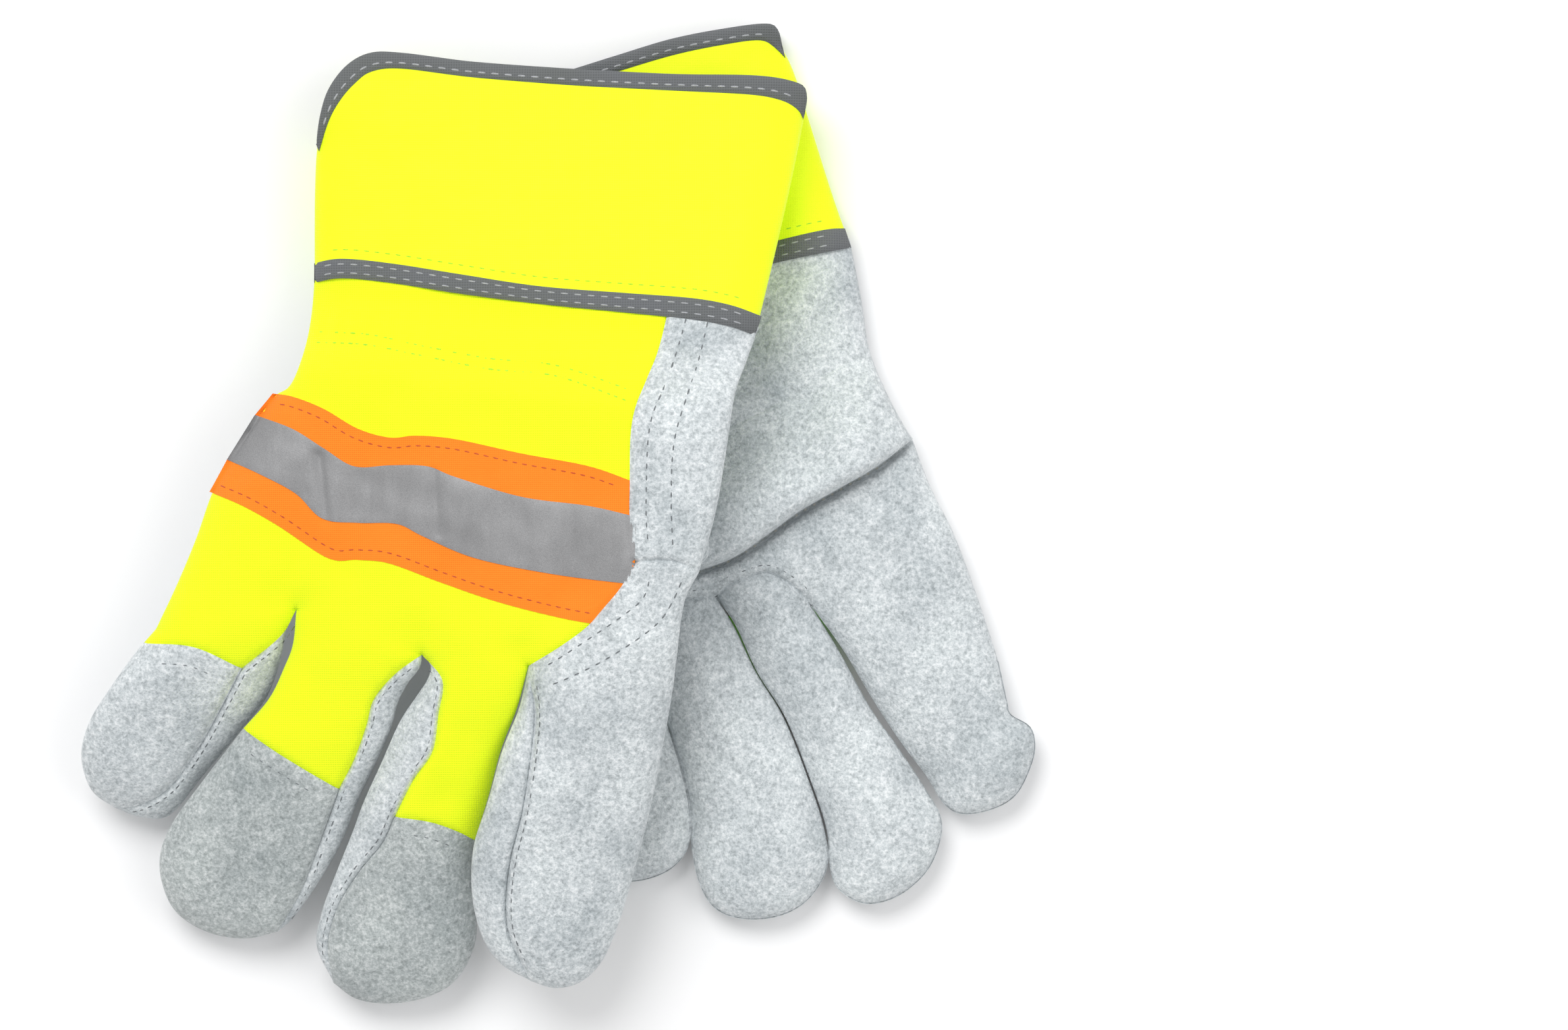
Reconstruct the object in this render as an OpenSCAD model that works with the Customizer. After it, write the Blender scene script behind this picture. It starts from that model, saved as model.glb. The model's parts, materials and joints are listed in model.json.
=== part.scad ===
// Pair of leather work gloves with safety cuffs, the right glove laid back-up on the left glove.
// Millimetres. +Z up, z = 0 is the table, +Y runs towards the cuffs, +X to the right.
// Every panel is a sheet cut from a flattened tube. A tube is a list of rings, and a ring is
// [centre, half width vector, half height]. Angles run round a ring from its +X edge over the top.

/* [Materials] */
// Thickness of the split leather
leather_t = 1.4; // [1:0.1:1.8]
// Thickness of the back fabric
fabric_t = 0.9; // [0.6:0.1:1.2]
// Thickness of the rubberised cuff cloth
cuff_t = 1.2; // [0.9:0.1:1.5]
// Thickness of tapes, linings and bindings
tape_t = 0.6; // [0.4:0.1:0.8]
// Clearance between layers sewn on each other
layer_gap = 0.3; // [0.2:0.1:0.5]
// Clearance between neighbouring panels, in degrees round a ring
seam_angle = 1.5; // [1:0.5:3]

/* [Heights] */
// Height of an empty finger
finger_h = 14; // [13:0.5:15]
// Height of an empty hand
hand_h = 14; // [12:0.5:15]
// Height of the flattened cuff
cuff_h = 13; // [11:0.5:14]
// Height of an empty thumb
thumb_h = 8.6; // [7:0.2:9]

/* [Cuff] */
// Width of the binding on the open edge
top_binding_w = 4.5; // [3:0.5:6]
// Width of the binding at the hand
base_binding_w = 5.5; // [4:0.5:7]
// Gap left between cuff and hand for the wrist fold
wrist_gap = 1.2; // [0.8:0.2:2]

/* [Tape over the knuckles] */
// Where the tape starts and ends, as shares of the hand's length
tape_from = 0.42; // [0.3:0.01:0.45]
// End of the tape
tape_to = 0.78; // [0.7:0.01:0.85]
// Share of the tape's width on each side that is orange
tape_edge = 0.27; // [0.2:0.01:0.35]

/* [Right glove] */
// Cuff mouth: x and y of its left end, x and y of its right end
right_mouth = [-71.6, 130, 66.4, 122]; // [-150:0.2:150]
// Cuff base
right_base = [-72, 66, 52.5, 52]; // [-150:0.2:150]
// Hand at the wrist
right_wrist = [-72, 62.5, 51.5, 48.5]; // [-150:0.2:150]
// Hand above the tape
right_waist = [-77, 33, 48.5, 30]; // [-150:0.2:150]
// Hand at the thumb root
right_palm = [-104, -4, 41.5, -3]; // [-150:0.2:150]
// Hand at the finger roots
right_knuckle = [-115.5, -29, 34.5, -29]; // [-150:0.2:150]
// Height of the hand's middle plane at its left and right edge, then of the cuff mouth's
right_lift = [27, 47.5, 18.5, 21.5]; // [10:0.5:60]
// Little finger: root from x to x, heading from -Y, reach
right_little = [-115, -79.5, -33, 62]; // [-150:0.5:150]
// Ring finger
right_ring = [-74, -41, -27, 101]; // [-150:0.5:150]
// Middle finger
right_middle = [-38.5, -6, -15, 112]; // [-150:0.5:150]
// Index finger
right_index = [-3.5, 33, -7, 106]; // [-150:0.5:150]
// Widths of little, ring, middle and index finger at their fullest
right_widths = [34.5, 38, 42, 43]; // [30:0.5:46]
// Height of the middle plane at the tip of little, ring, middle and index finger
right_tips = [7.2, 7.2, 7.2, 24]; // [7.2:0.2:30]

/* [Left glove] */
// Cuff mouth
left_mouth = [-69, 108.4, 65.5, 138]; // [-150:0.2:150]
// Cuff base
left_base = [-36.5, 50, 84, 79]; // [-150:0.2:150]
// Hand at the wrist
left_wrist = [-35, 46.6, 85.2, 75.4]; // [-150:0.2:150]
// Hand below the wrist
left_waist = [-26, 16, 91, 44]; // [-150:0.2:150]
// Hand at the thumb root
left_palm = [-12, -14, 107, 9.5]; // [-150:0.2:150]
// Hand at the finger roots
left_knuckle = [5, -36, 117, -26]; // [-150:0.2:150]
// Little finger: root from x to x, heading from -Y, reach
left_little = [5, 30.5, 5, 70]; // [-150:0.5:150]
// Ring finger
left_ring = [35.5, 54, 9.5, 84]; // [-150:0.5:150]
// Middle finger
left_middle = [56.5, 80.5, 20.5, 84]; // [-150:0.5:150]
// Index finger
left_index = [88.5, 116.5, 24, 65]; // [-150:0.5:150]
// Widths of little, ring, middle and index finger at their fullest
left_widths = [27, 31, 28, 37]; // [24:0.5:46]

/* [Thumbs] */
// Right thumb: root x and y, heading from -Y, reach
right_thumb = [36, 2, -66, 60]; // [-150:0.5:150]
// Left thumb
left_thumb = [96.4, 35.7, -64.7, 76]; // [-150:0.5:150]
// Width of a thumb
thumb_w = 31; // [28:0.5:34]
// Clearance over and under a folded thumb
thumb_gap = 0.8; // [0.5:0.1:1.2]

/* [Hidden] */
yellow = [0.9, 1.0, 0.1];
suede = [0.72, 0.74, 0.75];
grey = [0.4, 0.41, 0.43];
orange = [1.0, 0.5, 0.12];
silver = [0.62, 0.62, 0.64];
white = [0.92, 0.92, 0.9];
// Angles at which the back, the side walls and the palm side of a tube meet
back_to = 150;
wall_to = 210;
palm_to = 330;
strip_to = 62;
// Steps of a finger's rounded end, of a panel and of a narrow wall round a tube, and of a closed band
tip_steps = 3;
round_steps = 4;
wall_steps = 2;
band_steps = 16;
// Angle of the last ring of a rounded end
tip_round_to = 72;
// Depths under the skin of the layers sewn inside
inner_layer = leather_t + layer_gap;
inner_top = tape_t + layer_gap;
inner_depth = inner_top + layer_gap + cuff_t;
elastic_depth = inner_top + fabric_t + layer_gap * 3;
// Share of a tube's length by which its lining stays short of the ends
lining_from = 0.02;
// Width of the tape, as a share of the hand's length
tape_span = tape_to - tape_from;
// The two elastics that gather the wrist, as shares of the hand's length
elastic_at = [0.15, 0.21];
elastic_w = 0.03;
// Clearance between two pieces that meet edge to edge, as a share of the tube
butt_gap = 0.005;
// The seam of fabric back and leather cap, as a share of the tube
little_cap_from = 0.14;
cap_from = 0.27;
// Where a finger is narrowest, as a share of its reach, and its width there and at a thumb's root
narrow_at = 0.3;
narrow_w = 0.92;
thumb_root_w = 0.9;
// Least share of a ring's size that is left at any depth
least_size = 0.3;
// How far the right glove's wrist drops towards its cuff
right_drop = 6;
left_lift = [hand_h / 2, hand_h / 2, cuff_h / 2, cuff_h / 2];
left_tips = [finger_h / 2, finger_h / 2, finger_h / 2, finger_h / 2];
// How much the top and underside of a flattened tube are levelled
flatness = 1.15;

function mix(a, b, s) = a + (b - a) * s;
function heading(a) = [sin(a), -cos(a), 0];
function across(a) = [cos(a), sin(a), 0];
// A ring from x, y of its two ends and their heights
function row(ends, za, zb, h) =
    let (a = [ends[0], ends[1], za], b = [ends[2], ends[3], zb]) [(a + b) / 2, (b - a) / 2, h / 2];
function ring_mix(p, q, s) = [mix(p[0], q[0], s), mix(p[1], q[1], s), mix(p[2], q[2], s)];
// The ring at share s of a tube
function ring_at(tube, s) =
    let (n = len(tube) - 1, i = min(n - 1, floor(s * n))) ring_mix(tube[i], tube[i + 1], s * n - i);
// Point at angle a on a ring, sunk by depth under its skin
function skin(r, a, depth) =
    let (w = norm(r[1]), keep = max(w - depth, least_size * w) / w)
    r[0] + r[1] * keep * cos(a)
    + [0, 0, max(r[2] - depth, least_size * r[2]) * max(-1, min(1, flatness * sin(a)))];

// A sheet on a tube between shares s0 and s1 and angles a0 and a1, from depth d0 to depth d1.
// It has a row of points at each ring of the tube, so that neighbouring sheets fold at the same places.
module panel(tube, s0, s1, a0, a1, d0, d1, na = round_steps) {
    n = len(tube) - 1;
    shares = concat([s0], [for (i = [1 : n - 1]) if (i / n > s0 && i / n < s1) i / n], [s1]);
    ns = len(shares) - 1;
    grid = [for (d = [d0, d1]) for (s = shares) for (j = [0 : na])
        skin(ring_at(tube, s), mix(a0, a1, j / na), d)];
    w = na + 1;
    back = (ns + 1) * w;
    quads = concat(
        [for (i = [0 : ns - 1]) for (j = [0 : na - 1])
            [i * w + j, (i + 1) * w + j, (i + 1) * w + j + 1, i * w + j + 1]],
        [for (i = [0 : ns - 1]) for (j = [0 : na - 1])
            [back + i * w + j, back + i * w + j + 1, back + (i + 1) * w + j + 1, back + (i + 1) * w + j]],
        [for (i = [0 : ns - 1]) [i * w, back + i * w, back + (i + 1) * w, (i + 1) * w]],
        [for (i = [0 : ns - 1])
            [(i + 1) * w + na, back + (i + 1) * w + na, back + i * w + na, i * w + na]],
        [for (j = [0 : na - 1]) [j + 1, back + j + 1, back + j, j]],
        [for (j = [0 : na - 1])
            [ns * w + j, back + ns * w + j, back + ns * w + j + 1, ns * w + j + 1]]);
    polyhedron(points = grid, faces = [for (q = quads) each [[q[0], q[1], q[2]], [q[0], q[2], q[3]]]]);
}

// Tubes
function hand_tube(wrist, waist, palm, knuckle, lift, wrist_drop) = [
    row(wrist, lift[0] - wrist_drop, lift[1] - wrist_drop * 2, hand_h),
    row(waist, lift[0], lift[1], hand_h),
    row(palm, lift[0], lift[1], hand_h),
    row(knuckle, lift[0], lift[1], hand_h)];
function cuff_tube(mouth, base, lift, wrist_drop) = [
    row(mouth, lift[2], lift[3], cuff_h),
    row(base, lift[0] - wrist_drop, lift[1] - wrist_drop * 2, cuff_h)];
// A finger: the root lies on the knuckle line, the tip is round
function finger_tube(hand, place, width, tip_z) =
    let (k = hand[3], lo = k[0] - k[1], span = 2 * k[1][0],
         p = lo + k[1] * 2 * (place[0] - lo[0]) / span, q = lo + k[1] * 2 * (place[1] - lo[0]) / span,
         d = heading(place[2]), root = (p + q) / 2 + [d[0], d[1], 0] * wrist_gap, reach = place[3],
         slope = [0, 0, (tip_z - root[2])], half = across(place[2]) * width / 2, r = width / 2)
    concat(
        [[root, (q - p) / 2, hand_h / 2],
         [root + (d * reach + slope) * narrow_at, half * narrow_w, finger_h / 2],
         [root + d * (reach - r) + slope * (reach - r) / reach, half, finger_h / 2]],
        [for (i = [1 : tip_steps]) let (a = tip_round_to * i / tip_steps, at = reach - r + r * sin(a))
            [root + d * at + slope * min(1, at / reach), half * cos(a), finger_h / 2 * sqrt(cos(a))]]);
function thumb_tube(place, z, slope) =
    let (d = heading(place[2]), reach = place[3], r = thumb_w / 2, half = across(place[2]) * thumb_w / 2,
         tilt = [0, 0, slope], start = [place[0], place[1], z])
    concat(
        [[start, half * thumb_root_w, thumb_h / 2],
         [start + (d + tilt) * (reach - r), half, thumb_h / 2]],
        [for (i = [1 : tip_steps]) let (a = tip_round_to * i / tip_steps, at = reach - r + r * sin(a))
            [start + (d + tilt) * at, half * cos(a), thumb_h / 2 * sqrt(cos(a))]]);

right_hand = hand_tube(right_wrist, right_waist, right_palm, right_knuckle, right_lift, right_drop);
right_cuff = cuff_tube(right_mouth, right_base, right_lift, right_drop);
left_hand = hand_tube(left_wrist, left_waist, left_palm, left_knuckle, left_lift, 0);
left_cuff = cuff_tube(left_mouth, left_base, left_lift, 0);
right_fingers = [for (i = [0 : 3])
    finger_tube(right_hand, [right_little, right_ring, right_middle, right_index][i],
        right_widths[i], right_tips[i])];
left_fingers = [for (i = [0 : 3])
    finger_tube(left_hand, [left_little, left_ring, left_middle, left_index][i],
        left_widths[i], left_tips[i])];
left_thumb_z = left_lift[1] + hand_h / 2 + thumb_gap + thumb_h / 2;
right_slope = (right_lift[1] - right_lift[0]) / (right_palm[2] - right_palm[0]);
right_thumb_z = right_lift[0] + right_slope * (right_thumb[0] - right_palm[0])
    - hand_h / 2 - thumb_gap * 3 - thumb_h / 2;
right_thumb_tube = thumb_tube(right_thumb, right_thumb_z, right_slope * sin(right_thumb[2]));
left_thumb_tube = thumb_tube(left_thumb, left_thumb_z, 0);

// The back of the right glove faces up and the back of the left glove faces down
module back_panel(tube, up, s0, s1, a0, a1, d0, d1) {
    if (up) panel(tube, s0, s1, a0, a1, d0, d1);
    else panel(tube, s0, s1, -a1, -a0, d0, d1);
}

// Cuff pieces
function cuff_length(tube) = norm(tube[1][0] - tube[0][0]);
module cuff_shell(tube) {
    color(yellow) band(tube, 0, 1, inner_top, inner_top + cuff_t);
}
module cuff_lining(tube) {
    color(white) band(tube, lining_from, 1 - lining_from, inner_depth, inner_depth + tape_t);
}
// A closed band all round a tube
module band(tube, s0, s1, d0, d1, n = band_steps) {
    pts = [for (d = [d0, d1]) for (s = [s0, s1]) for (j = [0 : n - 1])
        skin(ring_at(tube, s), 360 * j / n, d)];
    function nx(j) = (j + 1) % n;
    quads = [for (j = [0 : n - 1]) each [
        [j, n + j, n + nx(j), nx(j)],
        [2 * n + j, 2 * n + nx(j), 3 * n + nx(j), 3 * n + j],
        [j, nx(j), 2 * n + nx(j), 2 * n + j],
        [n + j, 3 * n + j, 3 * n + nx(j), n + nx(j)]]];
    polyhedron(points = pts, faces = [for (q = quads) each [[q[0], q[1], q[2]], [q[0], q[2], q[3]]]]);
}
module cuff_top_binding(tube) {
    color(grey) band(tube, 0, top_binding_w / cuff_length(tube), 0, tape_t);
}
module cuff_base_binding(tube) {
    color(grey) band(tube, 1 - base_binding_w / cuff_length(tube), 1, 0, tape_t);
}

// Hand pieces
module hand_back(tube, up) {
    color(yellow) back_panel(tube, up, 0, 1, strip_to, back_to, inner_top, inner_top + fabric_t);
}
module hand_palm(tube, up) {
    color(suede) back_panel(tube, up, 0, 1, wall_to, palm_to, 0, leather_t);
}
module hand_palm_lining(tube, up) {
    color(white) back_panel(tube, up, lining_from, 1 - lining_from, wall_to, palm_to,
        inner_layer, inner_layer + tape_t);
}
module hand_strip(tube, up) {
    color(suede) back_panel(tube, up, 0, 1, back_to - 180 + seam_angle, strip_to - seam_angle,
        0, leather_t);
}
module hand_outer_wall(tube, up) {
    color(suede) back_panel(tube, up, 0, 1, back_to + seam_angle, wall_to - seam_angle, 0, leather_t);
}
module hand_tape(tube, up, s0, s1) {
    back_panel(tube, up, s0, s1, strip_to + seam_angle, back_to - seam_angle, 0, tape_t);
}
module tape_orange(tube, up) {
    color(orange) {
        hand_tape(tube, up, tape_from, tape_from + tape_span * tape_edge);
        hand_tape(tube, up, tape_to - tape_span * tape_edge, tape_to);
    }
}
module tape_silver(tube, up) {
    color(silver) hand_tape(tube, up, tape_from + tape_span * tape_edge + butt_gap,
        tape_to - tape_span * tape_edge - butt_gap);
}
module wrist_elastic(tube, up) {
    color(white) for (s = elastic_at)
        back_panel(tube, up, s, s + elastic_w, strip_to, back_to, elastic_depth, elastic_depth + tape_t);
}

// Finger pieces
module finger_back(tube, up, to = cap_from) {
    color(yellow) back_panel(tube, up, 0, to, 180 - back_to, back_to, 0, fabric_t);
}
module finger_tip(tube, up, from = cap_from) {
    color(suede) back_panel(tube, up, from + butt_gap, 1, 180 - back_to, back_to, 0, leather_t);
}
module finger_leather_back(tube, up) {
    color(suede) back_panel(tube, up, 0, 1, 180 - back_to, back_to, 0, leather_t);
}
module finger_front(tube, up) {
    color(suede) back_panel(tube, up, 0, 1, wall_to, palm_to, 0, leather_t);
}
module finger_walls(tube) {
    color(suede) {
        panel(tube, 0, 1, back_to - 180 + seam_angle, 180 - back_to - seam_angle, 0, leather_t, wall_steps);
        panel(tube, 0, 1, back_to + seam_angle, wall_to - seam_angle, 0, leather_t, wall_steps);
    }
}
module thumb_back_panel(tube, up) {
    color(suede) back_panel(tube, up, 0, 1, seam_angle, 180 - seam_angle, 0, leather_t);
}
module thumb_front_panel(tube, up) {
    color(suede) back_panel(tube, up, 0, 1, 180 + seam_angle, 360 - seam_angle, 0, leather_t);
}

// Right glove
module right_cuff_shell() { cuff_shell(right_cuff); }
module right_cuff_lining() { cuff_lining(right_cuff); }
module right_cuff_top_binding() { cuff_top_binding(right_cuff); }
module right_cuff_base_binding() { cuff_base_binding(right_cuff); }
module right_palm_leather() { hand_palm(right_hand, true); }
module right_palm_lining() { hand_palm_lining(right_hand, true); }
module right_back_fabric() { hand_back(right_hand, true); }
module right_side_strip() { hand_strip(right_hand, true); }
module right_outer_wall() { hand_outer_wall(right_hand, true); }
module right_tape_orange() { tape_orange(right_hand, true); }
module right_tape_silver() { tape_silver(right_hand, true); }
module right_wrist_elastic() { wrist_elastic(right_hand, true); }
module right_little_front() { finger_front(right_fingers[0], true); }
module right_little_back() { finger_back(right_fingers[0], true, little_cap_from); }
module right_little_tip() { finger_tip(right_fingers[0], true, little_cap_from); }
module right_little_sidewalls() { finger_walls(right_fingers[0]); }
module right_ring_front() { finger_front(right_fingers[1], true); }
module right_ring_back() { finger_back(right_fingers[1], true); }
module right_ring_tip() { finger_tip(right_fingers[1], true); }
module right_ring_sidewalls() { finger_walls(right_fingers[1]); }
module right_middle_front() { finger_front(right_fingers[2], true); }
module right_middle_back() { finger_back(right_fingers[2], true); }
module right_middle_tip() { finger_tip(right_fingers[2], true); }
module right_middle_sidewalls() { finger_walls(right_fingers[2]); }
module right_index_front() { finger_front(right_fingers[3], true); }
module right_index_back() { finger_leather_back(right_fingers[3], true); }
module right_index_sidewalls() { finger_walls(right_fingers[3]); }
module right_thumb_back() { thumb_back_panel(right_thumb_tube, true); }
module right_thumb_front() { thumb_front_panel(right_thumb_tube, true); }

// Left glove
module left_cuff_shell() { cuff_shell(left_cuff); }
module left_cuff_lining() { cuff_lining(left_cuff); }
module left_cuff_top_binding() { cuff_top_binding(left_cuff); }
module left_cuff_base_binding() { cuff_base_binding(left_cuff); }
module left_palm_leather() { hand_palm(left_hand, false); }
module left_palm_lining() { hand_palm_lining(left_hand, false); }
module left_back_fabric() { hand_back(left_hand, false); }
module left_side_strip() { hand_strip(left_hand, false); }
module left_outer_wall() { hand_outer_wall(left_hand, false); }
module left_tape_orange() { tape_orange(left_hand, false); }
module left_tape_silver() { tape_silver(left_hand, false); }
module left_wrist_elastic() { wrist_elastic(left_hand, false); }
module left_little_front() { finger_front(left_fingers[0], false); }
module left_little_back() { finger_back(left_fingers[0], false, little_cap_from); }
module left_little_tip() { finger_tip(left_fingers[0], false, little_cap_from); }
module left_little_sidewalls() { finger_walls(left_fingers[0]); }
module left_ring_front() { finger_front(left_fingers[1], false); }
module left_ring_back() { finger_back(left_fingers[1], false); }
module left_ring_tip() { finger_tip(left_fingers[1], false); }
module left_ring_sidewalls() { finger_walls(left_fingers[1]); }
module left_middle_front() { finger_front(left_fingers[2], false); }
module left_middle_back() { finger_back(left_fingers[2], false); }
module left_middle_tip() { finger_tip(left_fingers[2], false); }
module left_middle_sidewalls() { finger_walls(left_fingers[2]); }
module left_index_front() { finger_front(left_fingers[3], false); }
module left_index_back() { finger_leather_back(left_fingers[3], false); }
module left_index_sidewalls() { finger_walls(left_fingers[3]); }
module left_thumb_back() { thumb_back_panel(left_thumb_tube, false); }
module left_thumb_front() { thumb_front_panel(left_thumb_tube, false); }

right_cuff_shell();
right_cuff_lining();
right_cuff_top_binding();
right_cuff_base_binding();
right_palm_leather();
right_palm_lining();
right_back_fabric();
right_side_strip();
right_outer_wall();
right_tape_orange();
right_tape_silver();
right_wrist_elastic();
right_little_front();
right_little_back();
right_little_tip();
right_little_sidewalls();
right_ring_front();
right_ring_back();
right_ring_tip();
right_ring_sidewalls();
right_middle_front();
right_middle_back();
right_middle_tip();
right_middle_sidewalls();
right_index_front();
right_index_back();
right_index_sidewalls();
right_thumb_back();
right_thumb_front();
left_cuff_shell();
left_cuff_lining();
left_cuff_top_binding();
left_cuff_base_binding();
left_palm_leather();
left_palm_lining();
left_back_fabric();
left_side_strip();
left_outer_wall();
left_tape_orange();
left_tape_silver();
left_wrist_elastic();
left_little_front();
left_little_back();
left_little_tip();
left_little_sidewalls();
left_ring_front();
left_ring_back();
left_ring_tip();
left_ring_sidewalls();
left_middle_front();
left_middle_back();
left_middle_tip();
left_middle_sidewalls();
left_index_front();
left_index_back();
left_index_sidewalls();
left_thumb_back();
left_thumb_front();
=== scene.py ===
"""The looks of a pair of leather work gloves: the right glove lies back-up on the left glove."""
import json
import math

import bpy
import numpy as np
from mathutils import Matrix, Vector, noise
from mathutils.geometry import delaunay_2d_cdt


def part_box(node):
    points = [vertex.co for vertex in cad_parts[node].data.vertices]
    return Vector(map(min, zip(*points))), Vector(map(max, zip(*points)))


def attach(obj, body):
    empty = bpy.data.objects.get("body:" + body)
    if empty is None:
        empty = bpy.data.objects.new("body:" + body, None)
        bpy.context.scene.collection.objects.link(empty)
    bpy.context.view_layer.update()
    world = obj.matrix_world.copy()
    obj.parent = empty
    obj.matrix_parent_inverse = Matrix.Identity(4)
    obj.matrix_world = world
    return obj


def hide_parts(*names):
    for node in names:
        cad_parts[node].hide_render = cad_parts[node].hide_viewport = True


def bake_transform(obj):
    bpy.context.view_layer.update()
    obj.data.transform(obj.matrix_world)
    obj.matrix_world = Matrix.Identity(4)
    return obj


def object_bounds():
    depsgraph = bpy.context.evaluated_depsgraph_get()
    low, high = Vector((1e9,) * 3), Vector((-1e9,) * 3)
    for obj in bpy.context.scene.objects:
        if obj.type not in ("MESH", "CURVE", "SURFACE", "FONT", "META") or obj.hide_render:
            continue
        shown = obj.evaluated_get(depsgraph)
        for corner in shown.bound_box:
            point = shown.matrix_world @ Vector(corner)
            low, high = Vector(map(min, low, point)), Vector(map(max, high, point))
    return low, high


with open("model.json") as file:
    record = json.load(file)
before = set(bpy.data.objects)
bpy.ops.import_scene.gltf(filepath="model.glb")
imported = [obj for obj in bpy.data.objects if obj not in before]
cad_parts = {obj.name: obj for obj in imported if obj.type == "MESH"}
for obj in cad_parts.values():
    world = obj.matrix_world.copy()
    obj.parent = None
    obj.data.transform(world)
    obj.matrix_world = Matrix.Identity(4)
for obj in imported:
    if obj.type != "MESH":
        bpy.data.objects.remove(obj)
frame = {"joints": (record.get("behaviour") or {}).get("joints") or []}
cad_low, cad_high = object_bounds()

MM = 0.001
FINGERS = ("little", "ring", "middle", "index")
# The top and the underside of a body
BOTH = (1, -1)

# Spacing of a panel's points, in millimetres
EDGE_STEP = 1.3
FILL_STEP = 1.7
# How far from the outline a glove or a cuff is still rounded
GLOVE_ROUND = 17.0
CUFF_ROUND = 13.0
# Half thickness of hand and cuff
HAND_HALF = 7.0
CUFF_HALF = 6.5
# Thickness of the leather, the back's fabric and the cuff's cloth
LEATHER = 1.3
FABRIC = 0.8
CLOTH = 1.1
# How much thinner the hand is where it is tucked into the cuff, as a share
TUCK = 0.17
# Lowest height of a skin that lies on the table
REST = 1.15
# How far a leather panel stands above the fabric it is sewn onto
OVERLAP = 0.55
# Depth and width of a sewn seam's groove
SEAM = 1.7
SEAM_W = 0.62
# Width of the leather wall along the little finger's side, and along the left glove's fingers
WALL = 9.0
FINGER_WALL = 4.5
# Height and span of a skin's soft waves and of its finer ripples
WAVE, WAVE_SPAN = 0.55, 19
RIPPLE, RIPPLE_SPAN = 0.16, 5.5
# Rows of a staggered grid of points, as a share of its step
ROW_SHARE = 0.866
# A panel's grid stays this far from its outline, and rows of points follow the outline this far in
GRID_CLEAR = 1.35
EDGE_ROWS = (0.28, 0.85)
EDGE_CLEAR = 0.2
# Rows of points along a sharp fold, and how far the fold's rows and the grid keep off
FOLD_ROWS = (-1.2, -0.6, 0, 0.6, 1.2)
FOLD_END_CLEAR = 0.5
FOLD_CLEAR = 1.7
# A sheet is never thicker than this share of its body's half thickness, nor thinner than this
THICKEST_SHARE = 0.45
THINNEST = 0.04
# How far a sewn band stands off the skin
BAND_LIFT = 0.12
# Linings and elastics: thickness, and how deep they lie under the sheet above
LINING_THICK = 0.5
LINING_SINK = 0.6
CUFF_LINING_SINK = 0.5
ELASTIC_THICK = 0.5
ELASTIC_W = 4.0
ELASTIC_SINK = 0.75
# A cuff's lining in plan, as a share of the cuff
LINING_SHARE = 0.93
# The tapes, and how far the orange one's stitches run from its edges
ORANGE_TAPE = dict(crown=0.0, thickness=0.4, steps=14, lift=0.1)
SILVER_TAPE = dict(crown=0.1, thickness=0.3, steps=25, power=14, lift=0.3)
TAPE_ROW = 2.8
# A stitch: spacing of its line's samples, cross-sections along it, points round its top, how far its
# ends dip, and how wide it is as shares: at its ends, and what the middle adds
STITCH_STEP = 0.25
STITCH_CUTS = 6
STITCH_ARC = 5
STITCH_DIP = 0.12
STITCH_SLIM = 0.55
STITCH_BULGE = 0.45
# Kinds of stitch
FINE = dict(length=1.6, gap=1.0, width=0.35, proud=0.12)
SHIRRED = dict(length=1.6, gap=0.7, width=0.45)
LONG = dict(length=2.1, gap=1.2)
# How far a finger bends down before it runs straight
FINGER_EASE = 12.0

JOINTS = {j["name"]: j for j in frame["joints"]}


def joint_place(name):
    """Where a hinge sits, in millimetres."""
    return np.array(JOINTS[name]["pos_m"]) / MM


# ---------------------------------------------------------------- curves in plan

def smooth(points, closed=False, step=EDGE_STEP):
    """A curve through the points, with its corners eased, as evenly spaced points."""
    p = np.array(points, float)
    n = len(p)
    if closed:
        p = np.vstack([p[-1], p, p[0], p[1]])
        spans = n
    else:
        p = np.vstack([2 * p[0] - p[1], p, 2 * p[-1] - p[-2]])
        spans = n - 1
    out = []
    for i in range(spans):
        a, b, c, d = p[i:i + 4]
        for t in np.linspace(0, 1, 13)[:-1]:
            out.append(0.5 * (2 * b + (c - a) * t + (2 * a - 5 * b + 4 * c - d) * t ** 2
                              + (3 * b - a - 3 * c + d) * t ** 3))
    out.append(p[spans + 1])
    return resample(np.array(out), step)


def resample(line, step=EDGE_STEP, count=None):
    """The same line with evenly spaced points."""
    line = np.asarray(line, float)
    gaps = np.linalg.norm(np.diff(line, axis=0), axis=1)
    along = np.concatenate([[0], np.cumsum(gaps)])
    if count is None:
        count = max(2, int(round(along[-1] / step)) + 1)
    at = np.linspace(0, along[-1], count)
    return np.stack([np.interp(at, along, line[:, k]) for k in range(line.shape[1])], axis=1)


def chain(*lines):
    """Lines joined end to end, each point once."""
    out = [np.asarray(lines[0])]
    for line in lines[1:]:
        line = np.asarray(line)
        if np.linalg.norm(out[-1][-1] - line[0]) < 1e-6:
            line = line[1:]
        out.append(line)
    ring = np.vstack(out)
    if np.linalg.norm(ring[0] - ring[-1]) < 1e-6:
        ring = ring[:-1]
    return ring


def inside(points, ring):
    """Which points lie inside a closed ring."""
    x, y = points[:, 0], points[:, 1]
    result = np.zeros(len(points), bool)
    j = len(ring) - 1
    for i in range(len(ring)):
        xi, yi = ring[i]
        xj, yj = ring[j]
        crosses = (yi > y) != (yj > y)
        if crosses.any():
            with np.errstate(divide="ignore", invalid="ignore"):
                edge = (xj - xi) * (y - yi) / (yj - yi) + xi
            result ^= crosses & (x < edge)
        j = i
    return result


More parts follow.
